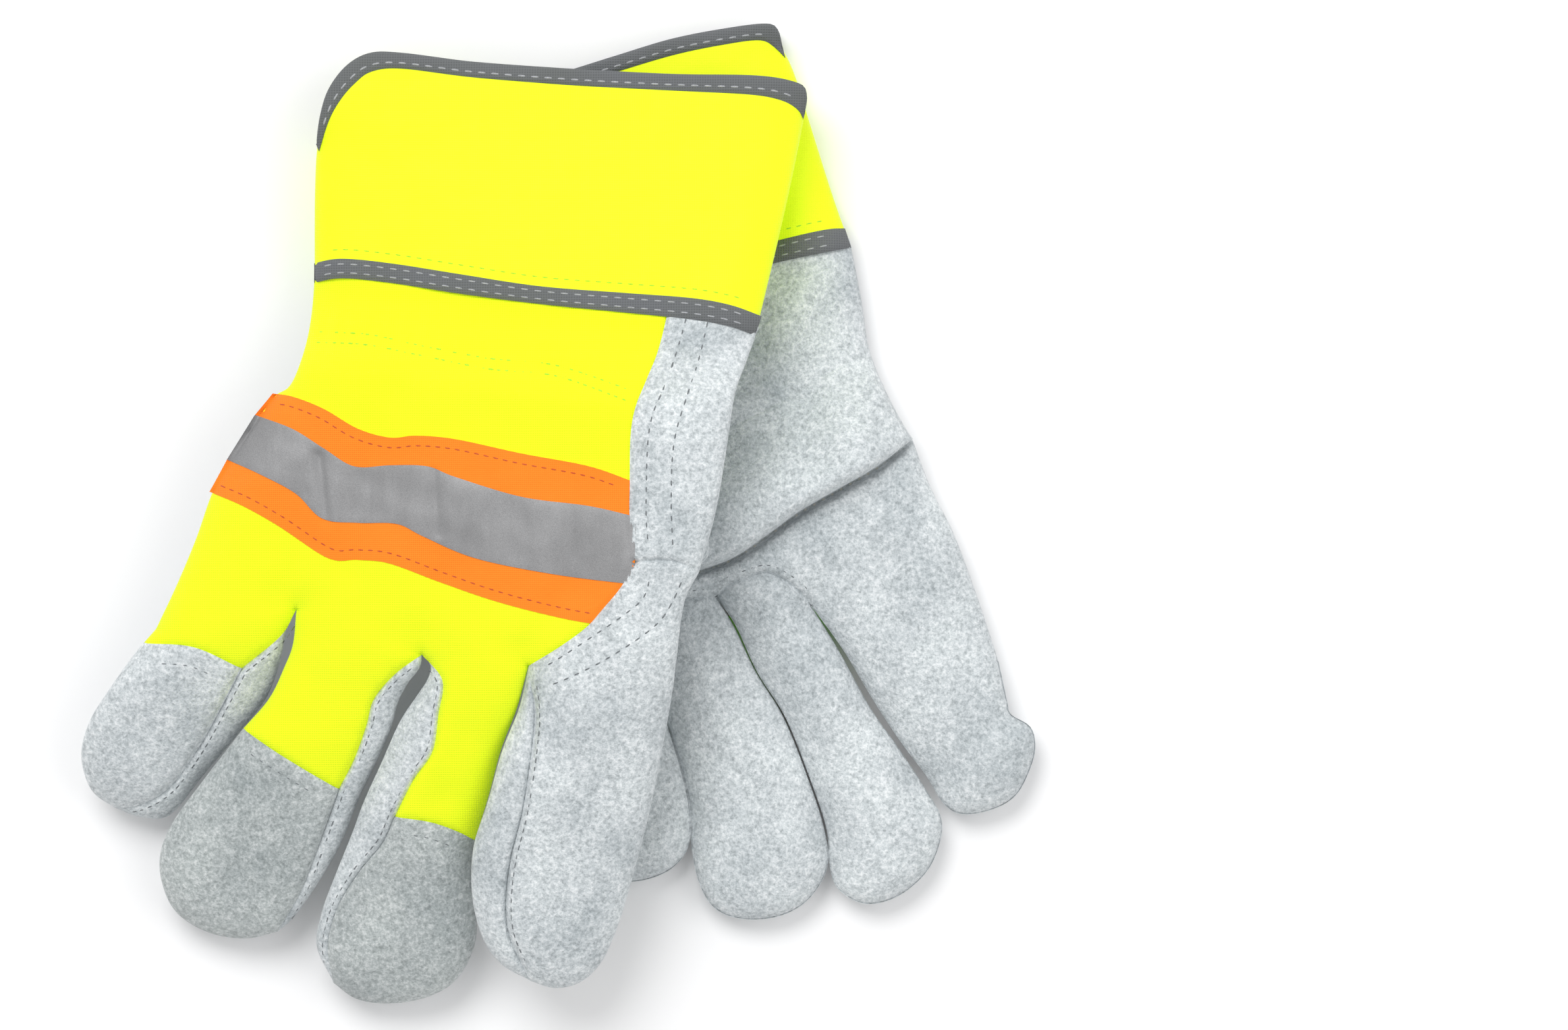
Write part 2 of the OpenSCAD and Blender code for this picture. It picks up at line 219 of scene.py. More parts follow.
def distance(points, lines):
    """Distance of each point to the nearest of some lines."""
    best = np.full(len(points), 1e9)
    for line in lines:
        a, b = line[:-1], line[1:]
        ab = b - a
        length = np.maximum((ab ** 2).sum(1), 1e-9)
        for start in range(0, len(a), 64):
            aa, dd, ll = a[start:start + 64], ab[start:start + 64], length[start:start + 64]
            ap = points[:, None, :] - aa[None]
            t = np.clip((ap * dd).sum(2) / ll, 0, 1)
            gap = ap - t[..., None] * dd
            best = np.minimum(best, np.sqrt((gap ** 2).sum(2)).min(1))
    return best


def fbm(x, y, scale, octaves=2, seed=0.0):
    """Smooth noise of about -1 to 1 at points, with features of about the scale in millimetres."""
    out = np.zeros(len(x))
    for k in range(octaves):
        f = 2 ** k / scale
        out += np.array([noise.noise(Vector((a * f, b * f, seed + 7.3 * k))) for a, b in zip(x, y)]) / 2 ** k
    return out


# ---------------------------------------------------------------- a body of cloth or leather

class Body:
    """A flat pillow: an outline in plan, a middle plane that drapes, and a half thickness."""

    def __init__(self, outline, middle, half, rounding, grooves=(), shape=None):
        self.outline = outline
        self.middle = middle
        self.half = half
        self.rounding = rounding
        self.grooves = list(grooves)
        self.shape = shape

    def height(self, p, side):
        """Half thickness over the points."""
        share = np.clip(distance(p, self.outline) / self.rounding, 0, 1)
        puff = np.sqrt(np.maximum(0, 1 - (1 - share) ** 2)) * self.half
        if self.shape:
            puff = puff * self.shape(p, side)
        edge = np.clip(share * 3, 0, 1)
        wave = WAVE * fbm(p[:, 0], p[:, 1], WAVE_SPAN, 2, 3.1 * side + self.half)
        wave += RIPPLE * fbm(p[:, 0], p[:, 1], RIPPLE_SPAN, 1, 9.7 * side)
        puff = puff + wave * edge
        for line, depth, width in self.grooves if side > 0 else []:
            near = distance(p, [line])
            puff = puff - depth * np.exp(-(near / width) ** 2) * edge
        return np.maximum(puff, 0)

    def surface(self, p, side, lift=0.0, finger=None):
        """Points in space on the top (side 1) or the underside (side -1), in millimetres."""
        z = self.middle(p, finger) + side * self.height(p, side)
        if side < 0:
            z = np.maximum(z, REST)
        return np.column_stack([p, z + side * lift])


def fill_points(ring, step=FILL_STEP):
    """Points inside a ring: a staggered grid, and two rows close behind the edge."""
    low, high = ring.min(0), ring.max(0)
    rows = np.arange(low[1], high[1], step * ROW_SHARE)
    grid = [(x + (0.5 * step if k % 2 else 0), y) for k, y in enumerate(rows)
            for x in np.arange(low[0], high[0], step)]
    grid = np.array(grid)
    grid = grid[inside(grid, ring)]
    closed = np.vstack([ring, ring[:1]])
    grid = grid[distance(grid, [closed]) > GRID_CLEAR]
    ahead = np.roll(ring, -1, 0) - np.roll(ring, 1, 0)
    ahead /= np.maximum(np.linalg.norm(ahead, axis=1, keepdims=True), 1e-9)
    area = 0.5 * np.sum(ring[:, 0] * np.roll(ring[:, 1], -1) - np.roll(ring[:, 0], -1) * ring[:, 1])
    inward = np.column_stack([-ahead[:, 1], ahead[:, 0]]) * np.sign(area)
    near = np.vstack([ring + inward * depth for depth in EDGE_ROWS])
    near = near[inside(near, ring)]
    near = near[distance(near, [closed]) > EDGE_CLEAR]
    return np.vstack([grid, near]) if len(grid) else near


def triangulate(ring, fold=None):
    """Plan points and triangles that fill a ring, with close rows of points along a sharp fold."""
    extra = fill_points(ring)
    if fold is not None:
        rails = np.vstack([offset(fold, by) for by in FOLD_ROWS])
        rails = rails[inside(rails, ring)]
        rails = rails[distance(rails, [np.vstack([ring, ring[:1]])]) > FOLD_END_CLEAR]
        extra = np.vstack([extra[distance(extra, [fold]) > FOLD_CLEAR], rails])
    points = np.vstack([ring, extra])
    verts, _, faces, *_ = delaunay_2d_cdt(
        [Vector(p) for p in points], [], [list(range(len(ring)))], 1, 1e-4)
    return np.array([tuple(v) for v in verts]), [tuple(f) for f in faces]


def mesh_piece(name, points_mm, faces, sharp, material):
    """A smooth piece of points in millimetres, with its rim's edges sharp."""
    mesh = bpy.data.meshes.new(name)
    mesh.from_pydata([tuple(p) for p in np.asarray(points_mm) * MM], [], faces)
    mesh.validate()
    mesh.update()
    mesh.polygons.foreach_set("use_smooth", [True] * len(mesh.polygons))
    keys = {tuple(sorted(e.vertices)): e for e in mesh.edges}
    for a, b in sharp:
        e = keys.get((min(a, b), max(a, b)))
        if e:
            e.use_edge_sharp = True
    piece = bpy.data.objects.new(name, mesh)
    bpy.context.collection.objects.link(piece)
    piece.data.materials.append(material)
    return piece


def thick(outer, inner, faces, side):
    """Points and faces of a sheet between an outer and an inner surface."""
    n = len(outer)
    if side < 0:
        faces = [f[::-1] for f in faces]
    out = list(faces) + [tuple(i + n for i in f[::-1]) for f in faces]
    used = {}
    for f in faces:
        for a, b in zip(f, f[1:] + f[:1]):
            used[(a, b)] = used.get((a, b), 0) + 1
    rim = [(a, b) for (a, b) in used if (b, a) not in used]
    out += [(b, a, a + n, b + n) for a, b in rim]
    sharp = list(rim) + [(a + n, b + n) for a, b in rim]
    return np.vstack([outer, inner]), out, sharp


def panel(body, ring, side, thickness, lift=0.0, finger=None, fold=None):
    """A sheet that fills a ring in plan, on a body's skin."""
    plan, faces = triangulate(ring, fold)
    outer = body.surface(plan, side, lift, finger)
    middle = body.middle(plan, finger)
    rise = np.abs(outer[:, 2] - middle)
    depth = np.minimum(thickness, THICKEST_SHARE * rise) + THINNEST
    inner = outer.copy()
    inner[:, 2] -= side * depth
    return thick(outer, inner, faces, side)


def merge(parts):
    """Several (points, faces, sharp) as one, without those that are None."""
    points, faces, sharp, base = [], [], [], 0
    for p, f, s in filter(None, parts):
        points.append(np.asarray(p))
        faces += [tuple(i + base for i in face) for face in f]
        sharp += [(a + base, b + base) for a, b in s]
        base += len(p)
    return np.vstack(points), faces, sharp


def strip(body, side, edge_a, edge_b, crown, thickness, finger=None, steps=7, power=4, sink=0.1,
               lift=0.0):
    """A band between two lines, laid on a body's skin with a rounded crown."""
    count = max(len(edge_a), len(edge_b))
    a, b = resample(edge_a, count=count), resample(edge_b, count=count)
    u = np.linspace(0, 1, steps)
    plan = (a[:, None, :] * (1 - u)[None, :, None] + b[:, None, :] * u[None, :, None]).reshape(-1, 2)
    rise = np.tile(crown * (1 - np.abs(2 * u - 1) ** power), count)
    outer = body.surface(plan, side, lift, finger)
    inner = outer.copy()
    outer[:, 2] += side * (rise + BAND_LIFT)
    inner[:, 2] -= side * min(sink, thickness)
    faces = []
    for i in range(count - 1):
        for j in range(steps - 1):
            k = i * steps + j
            faces.append((k, k + steps, k + steps + 1, k + 1))
    q = outer[list(faces[0])]
    if np.cross(q[1] - q[0], q[2] - q[0])[2] < 0:
        faces = [f[::-1] for f in faces]
    return thick(outer, inner, faces, side)


def offset(line, by):
    """A line moved sideways, to its left for a positive distance."""
    line = np.asarray(line)
    ahead = np.gradient(line, axis=0)
    ahead /= np.maximum(np.linalg.norm(ahead, axis=1, keepdims=True), 1e-9)
    return line + np.column_stack([-ahead[:, 1], ahead[:, 0]]) * by


def stitches(body, side, line, lift=0.0, finger=None, length=2.3, gap=1.1, width=0.5, proud=0.28):
    """A row of stitches along a line: each a short thread that dips at both ends."""
    line = resample(line, STITCH_STEP)
    per = int(round((length + gap) / STITCH_STEP))
    on = int(round(length / STITCH_STEP))
    arc = np.linspace(0, math.pi, STITCH_ARC)
    bow = np.sin(np.linspace(STITCH_DIP, math.pi - STITCH_DIP, STITCH_CUTS))
    full = STITCH_SLIM + STITCH_BULGE * bow
    plan, rise = [], []
    for start in range(2, len(line) - on - 1, per):
        seg = resample(line[start:start + on + 1], count=STITCH_CUTS)
        ahead = np.gradient(seg, axis=0)
        ahead /= np.maximum(np.linalg.norm(ahead, axis=1, keepdims=True), 1e-9)
        across = np.column_stack([-ahead[:, 1], ahead[:, 0]])
        for k in range(STITCH_CUTS):
            for t in arc:
                plan.append(seg[k] + across[k] * math.cos(t) * width / 2 * full[k])
                rise.append(proud * bow[k] * math.sin(t) - STITCH_DIP)
    if not plan:
        return None
    plan = np.array(plan)
    top = body.surface(plan, side, lift, finger)
    top[:, 2] += side * np.array(rise)
    faces = []

    def face(*corners):
        faces.append(corners if side < 0 else corners[::-1])

    for base in range(0, len(plan), STITCH_CUTS * STITCH_ARC):
        for k in range(STITCH_CUTS - 1):
            a = base + k * STITCH_ARC
            b = a + STITCH_ARC - 1
            for q in range(a, b):
                face(q, q + 1, q + STITCH_ARC + 1, q + STITCH_ARC)
            face(a, a + STITCH_ARC, b + STITCH_ARC, b)
        last = base + (STITCH_CUTS - 1) * STITCH_ARC
        face(*range(base + STITCH_ARC - 1, base - 1, -1))
        face(*range(last, last + STITCH_ARC))
    return top, faces, []


# ---------------------------------------------------------------- materials

# The wave texture's scale for one yarn in a unit of length
YARN_SCALE = 0.3142


class Nodes:
    """A small helper for building a material's nodes."""

    def __init__(self, name):
        self.material = bpy.data.materials.new(name)
        self.material.use_nodes = True
        self.tree = self.material.node_tree
        self.shader = self.tree.nodes["Principled BSDF"]
        self.place = self.tree.nodes.new("ShaderNodeTexCoord").outputs["Object"]

    def link(self, a, b):
        self.tree.links.new(a, b)

    def feed(self, value, socket):
        """Gives a socket a number, a colour or another node's output."""
        if isinstance(value, (int, float)):
            socket.default_value = value
        elif isinstance(value, tuple):
            socket.default_value = (*value, 1)
        else:
            self.link(value, socket)

    def noise(self, per_mm, detail=2.0, rough=0.5, seed=0.0, stretch=None):
        node = self.tree.nodes.new("ShaderNodeTexNoise")
        node.noise_dimensions = "4D"
        node.inputs["W"].default_value = seed
        node.inputs["Scale"].default_value = per_mm / MM
        node.inputs["Detail"].default_value = detail
        node.inputs["Roughness"].default_value = rough
        place = self.place
        if stretch:
            mapping = self.tree.nodes.new("ShaderNodeMapping")
            mapping.inputs["Scale"].default_value = stretch
            self.link(self.place, mapping.inputs["Vector"])
            place = mapping.outputs["Vector"]
        self.link(place, node.inputs["Vector"])
        return node.outputs["Fac"]

    def wave(self, per_mm, direction):
        """Yarns side by side, about so many to a millimetre."""
        node = self.tree.nodes.new("ShaderNodeTexWave")
        node.bands_direction = direction
        node.inputs["Scale"].default_value = per_mm / MM * YARN_SCALE
        node.inputs["Distortion"].default_value = 0.6
        node.inputs["Detail"].default_value = 1.0
        self.link(self.place, node.inputs["Vector"])
        return node.outputs["Fac"]

    def ramp(self, value, stops):
        node = self.tree.nodes.new("ShaderNodeValToRGB")
        ramp = node.color_ramp
        while len(ramp.elements) < len(stops):
            ramp.elements.new(0.5)
        for element, (at, colour) in zip(ramp.elements, stops):
            element.position = at
            element.color = (*colour, 1) if len(colour) == 3 else colour
        self.link(value, node.inputs["Fac"])
        return node.outputs["Color"]

    def mix(self, share, a, b, mode="MIX"):
        node = self.tree.nodes.new("ShaderNodeMix")
        node.data_type = "RGBA"
        node.blend_type = mode
        for value, socket in ((share, node.inputs[0]), (a, node.inputs[6]), (b, node.inputs[7])):
            self.feed(value, socket)
        return node.outputs[2]

    def maths(self, op, a, b=0.0):
        node = self.tree.nodes.new("ShaderNodeMath")
        node.operation = op
        self.feed(a, node.inputs[0])
        self.feed(b, node.inputs[1])
        return node.outputs[0]

    def bump(self, height, distance_mm, strength=1.0, under=None):
        node = self.tree.nodes.new("ShaderNodeBump")
        node.inputs["Distance"].default_value = distance_mm * MM
        node.inputs["Strength"].default_value = strength
        self.link(height, node.inputs["Height"])
        if under:
            self.link(under, node.inputs["Normal"])
        return node.outputs["Normal"]

    def finish(self, colour, roughness, normal=None, **extra):
        self.feed(colour, self.shader.inputs["Base Color"])
        self.feed(roughness, self.shader.inputs["Roughness"])
        if normal:
            self.link(normal, self.shader.inputs["Normal"])
        for name, value in extra.items():
            self.feed(value, self.shader.inputs[name.replace("_", " ")])
        return self.material


def suede(name, dark, mid, light, seed):
    """Split cowhide: a napped, speckled surface with soft lighter and darker patches."""
    n = Nodes(name)
    speck = n.noise(1.15, 3.0, 0.75, seed)
    fibre = n.noise(0.55, 2.0, 0.6, seed + 3, (1.0, 1.0, 1.0))
    patch = n.noise(0.045, 3.0, 0.6, seed + 5)
    blend = n.maths("ADD", n.maths("MULTIPLY", speck, 0.62), n.maths("MULTIPLY", fibre, 0.38))
    grain = n.ramp(blend, [(0.36, dark), (0.5, mid), (0.63, light)])
    cloud = n.ramp(patch, [(0.3, (0.74, 0.76, 0.77)), (0.5, (0.98, 0.98, 0.98)), (0.7, (1.1, 1.1, 1.09))])
    colour = n.mix(1.0, grain, cloud, "MULTIPLY")
    nap = n.bump(speck, 0.55, 0.75)
    normal = n.bump(fibre, 0.6, 0.5, nap)
    rough = n.maths("ADD", n.maths("MULTIPLY", patch, 0.12), 0.86)
    return n.finish(colour, rough, normal, Sheen_Weight=0.35, Sheen_Roughness=0.6,
                    Specular_IOR_Level=0.15)


def weave(name, base, shade, glow, glow_strength, per_mm, seed, bump=0.25, roughness=0.75):
    """Plain woven cloth: two crossing sets of yarn, with a little colour change along them."""
    n = Nodes(name)
    yarns = n.maths("MULTIPLY", n.wave(per_mm, "X"), n.wave(per_mm, "Y"))
    slub = n.noise(0.35, 2.0, 0.6, seed, (1.0, 4.0, 1.0))
    patch = n.noise(0.03, 2.0, 0.5, seed + 2)
    colour = n.mix(n.maths("MULTIPLY", yarns, 0.35), base, shade)
    colour = n.mix(n.maths("MULTIPLY", slub, 0.18), colour, shade)
    soil = n.ramp(patch, [(0.35, (0.955, 0.965, 0.9)), (0.6, (1.0, 1.0, 1.0))])
    colour = n.mix(1.0, colour, soil, "MULTIPLY")
    normal = n.bump(n.maths("ADD", yarns, n.maths("MULTIPLY", slub, 0.4)), bump, 0.6)
    extra = {}
    # A glow colour makes the cloth emit light: painted light, since the cloth is no lamp
    if glow:
        extra = {"Emission_Color": glow, "Emission_Strength": glow_strength}
    rough = n.maths("ADD", n.maths("MULTIPLY", slub, 0.1), roughness - 0.05)
    return n.finish(colour, rough, normal, Sheen_Weight=0.1, Specular_IOR_Level=0.2, **extra)


def thread(name, light, dark, seed):
    """Twisted sewing thread."""
    n = Nodes(name)
    twist = n.noise(2.5, 2.0, 0.5, seed)
    return n.finish(n.ramp(twist, [(0.35, dark), (0.65, light)]), 0.7, n.bump(twist, 0.12, 0.6),
                    Sheen_Weight=0.2)


def silver_cloth(name):
    """Retroreflective tape: fine glass beads on grey cloth, with soft creases that are bumped and whose shade
    and light are also painted into the colour.
    """
    n = Nodes(name)
    beads = n.noise(4.0, 1.0, 0.5, 1.0)
    crease = n.noise(0.12, 3.0, 0.6, 2.0, (1.0, 0.35, 1.0))
    base = n.ramp(beads, [(0.35, (0.245, 0.245, 0.25)), (0.65, (0.315, 0.315, 0.32))])
    # Painted shade and painted highlight along the creases: darker and lighter streaks in the colour
    shade = n.ramp(crease, [(0.3, (0.88, 0.88, 0.88)), (0.6, (1.04, 1.04, 1.04))])
    colour = n.mix(1.0, base, shade, "MULTIPLY")
    normal = n.bump(crease, 0.7, 0.35, n.bump(beads, 0.08, 0.4))
    return n.finish(colour, 0.5, normal, Metallic=0.25, Specular_IOR_Level=0.4)


SUEDE = suede("suede", (0.36, 0.395, 0.41), (0.59, 0.635, 0.655), (0.84, 0.87, 0.885), 1.0)
SUEDE_TIP = suede("suede_tip", (0.265, 0.295, 0.295), (0.44, 0.48, 0.48), (0.67, 0.70, 0.70), 8.0)
YELLOW = (0.92, 0.95, 0.014)
YELLOW_SHADE = (0.70, 0.88, 0.0)
# Fluorescent cloth gives back more light than falls on it; here that is an emission on the yellow cloth,
# painted light that keeps it bright and greenish where it lies in shade
YELLOW_GLOW = (0.16, 0.62, 0.0)
GLOW = 0.22
BACK_CLOTH = weave("back_cloth", YELLOW, YELLOW_SHADE, YELLOW_GLOW, GLOW, 1.6, 2.0)
CUFF_CLOTH = weave("cuff_cloth", YELLOW, YELLOW_SHADE, YELLOW_GLOW, GLOW, 2.0, 4.0, 0.10, 0.55)
# The orange tape's cloth emits a glow too: painted light
ORANGE_CLOTH = weave("orange_cloth", (0.93, 0.25, 0.016), (0.80, 0.13, 0.004), (0.7, 0.10, 0.0), 0.16,
                     1.8, 6.0, 0.2, 0.65)
BINDING = weave("binding", (0.155, 0.162, 0.172), (0.085, 0.09, 0.10), None, 0, 1.4, 3.0, 0.3, 0.7)
LINING = weave("lining", (0.74, 0.73, 0.68), (0.58, 0.57, 0.52), None, 0, 1.2, 5.0, 0.3, 0.9)
ELASTIC = weave("elastic", (0.80, 0.80, 0.77), (0.62, 0.62, 0.6), None, 0, 1.0, 7.0, 0.3, 0.7)
SILVER = silver_cloth("silver_cloth")
DARK_THREAD = thread("dark_thread", (0.21, 0.23, 0.24), (0.10, 0.11, 0.12), 1.0)
LIGHT_THREAD = thread("light_thread", (0.42, 0.43, 0.45), (0.27, 0.28, 0.30), 2.0)
GREEN_THREAD = thread("green_thread", (0.50, 0.85, 0.02), (0.32, 0.62, 0.02), 3.0)
RED_THREAD = thread("red_thread", (0.62, 0.10, 0.01), (0.40, 0.05, 0.01), 4.0)


# ---------------------------------------------------------------- where each glove is

def ease(t):
    t = np.clip(t, 0, 1)
    return t * t * (3 - 2 * t)


def sag(t, run):
    """Straight slope with an eased start of the given run."""
    return np.where(t < run, t * t / (2 * run), t - run / 2)


class Glove:
    """The places, the middle plane and the joints of one glove, read from the frame.

    palm is -1 for a glove whose palm faces down, 1 for one whose palm faces up."""

    def __init__(self, side, palm):
        self.side = side
        anchor = joint_place(f"{side}_middle_bend")
        self.anchor = anchor[:2]
        self.hand = f"{side}_hand"
        self.cuff = f"{side}_cuff"
        back_way = {("right", "index"), ("left", "little")}
        roots = {}
        for f in FINGERS:
            place = joint_place(f"{side}_{f}_bend")
            place[2] -= (-palm if (side, f) in back_way else palm) * HAND_HALF
            roots[f] = place
        a, b = roots["little"], roots["ring"]
        self.slope = (b[2] - a[2]) / (b[0] - a[0])
        self.level = a[2] - self.slope * a[0]
        wrist = joint_place(f"{side}_wrist_bend")
        axis = np.array(JOINTS[f"{side}_wrist_bend"]["axis"])
        self.wrist = wrist
        self.wrist_mid = wrist[2] + palm * HAND_HALF
        self.wrist_slope = axis[2] / axis[0]
        self.wrist_way = np.array([-axis[1], axis[0]]) * np.sign(axis[0])
        low, high = (np.array(v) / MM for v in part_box(f"{side}_cuff_top_binding"))
        self.mouth_box = low, high
        self.tips = {}
        self.split = {}
        for f in FINGERS:
            low, high = (np.array(v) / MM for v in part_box(f"{side}_{f}_front"))
            self.tips[f] = low[2] + HAND_HALF if palm < 0 else HAND_HALF

    def at(self, points):
        """Design points, given from the middle finger's knuckle, in the frame."""
        return np.array(points, float) + self.anchor

    def curve(self, points, **kw):
        return smooth(self.at(points), **kw)

    def past_wrist(self, p):
        """How far points lie past the wrist's fold, towards the cuff."""
        return (p - self.wrist[:2]) @ self.wrist_way

    def hand_level(self, x, y):
        z = self.level + self.slope * x
        past = self.past_wrist(np.column_stack([x, y]))
        wrist = self.wrist_mid + self.wrist_slope * (x - self.wrist[0])
        z = z + (wrist - z) * ease((past + self.wrist_run) / self.wrist_run)
        low, high = self.mouth_box
        if self.slope > 0.01:
            lip = low[2] + CUFF_HALF + (high[2] - low[2] - 2 * CUFF_HALF) * np.clip(
                (x - low[0]) / (high[0] - low[0]), 0, 1)
        else:
            lip = np.full(len(x), CUFF_HALF)
        return z + (lip - z) * np.clip(past / self.cuff_run, 0, 1)

    wrist_run = 26.0
    cuff_run = 66.0

    def middle(self, p, finger=None):
        x, y = p[:, 0], p[:, 1]
        z = self.hand_level(x, y)
        if finger is None or finger not in self.split:
            return z
        a, b, way, reach = self.split[finger]
        root = (a + b) / 2
        t = np.maximum((p - a) @ way, 0)
        level = self.level + self.slope * root[0]
        flat = level + self.slope * (x - root[0]) * (1 - ease(t / (0.35 * reach)))
        drop = (self.tips[finger] - level) * sag(t, FINGER_EASE) / sag(np.array([reach]), FINGER_EASE)[0]
        return np.where(t > 0, flat + drop, z)

    def set_split(self, finger, a, b, tip):
        a, b, tip = np.array(a), np.array(b), np.array(tip)
        along = (b - a) / np.linalg.norm(b - a)
        way = np.array([along[1], -along[0]])
        if (tip - a) @ way < 0:
            way = -way
        self.split[finger] = (a, b, way, (tip - a) @ way)

    def ride_with(self, part):
        """A ride for a piece that moves with one part only."""
        return lambda piece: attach(piece, f"{self.side}_{part}")

    def ride_finger(self):
        """A ride that bakes a piece's placement into its mesh."""
        return lambda piece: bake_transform(piece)

    def ride_hand(self, piece):
        """A hand's piece has its placement baked into its mesh."""
        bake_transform(piece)


def split_at(line, point):
    """A line in two, at its point nearest to the given one."""
    k = int(np.argmin(np.linalg.norm(line - np.asarray(point), axis=1)))
    k = min(max(k, 1), len(line) - 2)
    return line[:k + 1], line[k:]


def sewn(name, material, slot, ride, data):
    """Makes a piece and puts it on its body, in the place of the CAD node of its name. A thread has none."""
    piece = mesh_piece(name, *data, material)
    if slot != "thread":
        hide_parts(name)
    ride(piece)


# ---------------------------------------------------------------- right glove, back up

RIGHT = Glove("right", -1)
R = RIGHT.curve

# Outlines and seams, in millimetres from the middle finger's knuckle
wrist_line = R([(-50, 96.5), (-41.5, 98), (-27, 96.5), (-8.5, 93.5), (14, 90), (38, 87.5), (50.5, 86.5)])
wrist_strip = R([(50.5, 86.5), (56.5, 86), (67.5, 84), (75.5, 81)])
left_side = R([(-50, 96.5), (-51, 80.5), (-53, 71), (-56, 64.5), (-60.5, 61.5), (-66, 54), (-73, 43.5),
               (-78, 34.5), (-82.5, 22), (-88, 9), (-94, -3.5)])
right_upper = R([(75.5, 81), (72, 71), (69, 62), (66.5, 45.5), (63.5, 28.5), (59, 12.5)])
right_lower = R([(59, 12.5), (55.5, 6), (54, -1)])
strip_edge = R([(50.5, 86.5), (47.5, 74), (44.5, 66), (41.5, 58), (40.2, 50), (40, 37), (40, 27),
                (41.5, 15.5)])
strip_end = R([(41.5, 15.5), (49, 16), (54.5, 15), (59, 12.5)])
neck = R([(41.5, 15.5), (37.5, 8.5), (32.5, 2.5), (28, -2.5), (20.5, -8), (11.5, -13.5)])

crotch_lr = (-54, 2)
crotch_rm = (-18.5, -10.5)
crotch_mi = (11.5, -13.5)
index_out_end = (54, -1)
little_start = (-94, -3.5)


def straight(a, b):
    return resample(RIGHT.at([a, b]))


little_split = straight(little_start, crotch_lr)
ring_split = straight(crotch_lr, crotch_rm)
middle_split = straight(crotch_rm, crotch_mi)
little_left = R([(-94, -3.5), (-100, -10.5), (-108, -21.5), (-113, -29), (-116, -37), (-116, -44),
                 (-113.5, -50.5), (-107.5, -55)])
little_right = R([(-107.5, -55), (-101, -57.5), (-92.5, -57), (-82.5, -45.5), (-72, -33.5),
                  (-63.5, -23), (-59, -12), (-57, -4), (-54, 2)])
little_seam_up = R([(-54, 2), (-58.5, -5.5), (-69.5, -14.5)])
little_seam_low = R([(-69.5, -14.5), (-76, -26), (-83, -37.5), (-91.5, -48.5), (-99.5, -53.5), (-107.5, -55)])
little_cap = R([(-97.5, -7.5), (-82.5, -8.5), (-69.5, -14.5)])
ring_left = R([(-54, 2), (-55, -7.5), (-57.5, -14), (-62, -23), (-69.5, -31.5)])
ring_tip = R([(-69.5, -31.5), (-81.5, -46.5), (-90.5, -58.5), (-94.5, -68), (-94, -77), (-90, -85),
              (-81, -90.5), (-70.5, -92), (-61.5, -90)])
ring_right = R([(-61.5, -90), (-56.5, -85.5), (-49, -75), (-42.5, -64), (-37, -51), (-31.5, -40),
                (-27.5, -31), (-25.5, -24), (-22.5, -18.5), (-19, -14), (-18.5, -10.5)])
ring_seam_up = R([(-18.5, -10.5), (-26, -16), (-32, -23), (-34.3, -30.5), (-38, -40), (-42.5, -48.5)])
ring_seam_low = R([(-42.5, -48.5), (-45.5, -56.5), (-49, -65.5), (-54.5, -78.5), (-61.5, -90)])
ring_cap = R([(-69.5, -31.5), (-56.5, -40), (-42.5, -48.5)])
middle_left = R([(-18.5, -10.5), (-16, -13.5), (-17, -17.5), (-20, -22), (-25, -29.5), (-30.3, -41),
                 (-35.5, -52), (-39, -61), (-44.5, -74), (-48.5, -84.5), (-50, -94), (-45.5, -104.5)])
middle_tip = R([(-45.5, -104.5), (-39.5, -109), (-31.5, -110.5), (-22, -109.5), (-13.5, -106), (-8, -100),
                (-4.7, -91.5), (-4.7, -82.5), (-5.5, -73), (-4.5, -63)])
middle_right = R([(-4.5, -63), (-0.5, -51), (3.5, -37), (8.3, -25), (11.5, -13.5)])
middle_seam_up = R([(-18.5, -10.5), (-12.5, -17.5), (-13.7, -27), (-15.5, -37.5), (-21, -45.5), (-26.5, -56)])
middle_seam_low = R([(-26.5, -56), (-30, -63.5), (-37, -72), (-43.5, -82.5), (-46.5, -93.5), (-45.5, -104.5)])
middle_cap = R([(-26.5, -56), (-16.5, -57.5), (-8.5, -60.5), (-4.5, -63)])
index_seam = R([(11.5, -13.5), (13.3, -25), (12.7, -36), (10, -53.5), (6.5, -67.5), (5, -80.5),
                (6.2, -90.5), (11.5, -102.5)])
index_left = R([(11.5, -13.5), (8.9, -25), (4.1, -37), (0.1, -51), (-3.9, -63), (-4.9, -73), (-4.1, -82.5),
                (-1.3, -91.5), (3.7, -98), (11.5, -102.5)])
index_right = R([(11.5, -102.5), (18, -104.5), (25, -103), (31, -97.5), (35.5, -88), (39.3, -76),
                 (44.5, -56.5), (48, -40), (51.2, -23), (52.7, -12), (54, -1)])

TAPE_TOP = [(-60.5, 62.5), (-54.5, 61.5), (-45.5, 58), (-36, 52.5), (-27, 50), (-19.5, 50.5), (-8.5, 49.5),
            (10, 45.5), (28.5, 42), (41, 37.7)]
ORANGE_HIGH = [(-65.5, 56.5), (-54.5, 52.5), (-45.5, 47), (-37, 42), (-27, 42.3), (-16.5, 42), (-8.5, 39),
               (10, 33.5), (28.5, 31), (41.8, 28)]
ORANGE_LOW = [(-73.5, 44), (-64, 40), (-53.5, 34.5), (-46, 27.5), (-36, 26.3), (-25, 26), (-17.5, 22.5),
              (-3, 16.5), (19.5, 12), (41.2, 9.3)]
TAPE_END = [(-78.5, 35), (-68.5, 31), (-58.5, 25.5), (-44.5, 16.5), (-36, 16), (-27, 15), (-12, 9.5),
            (3, 4.5), (19.5, 0.3), (32, -2)]
tape_lines = [R(line, step=0.9) for line in (TAPE_TOP, ORANGE_HIGH, ORANGE_LOW, TAPE_END)]
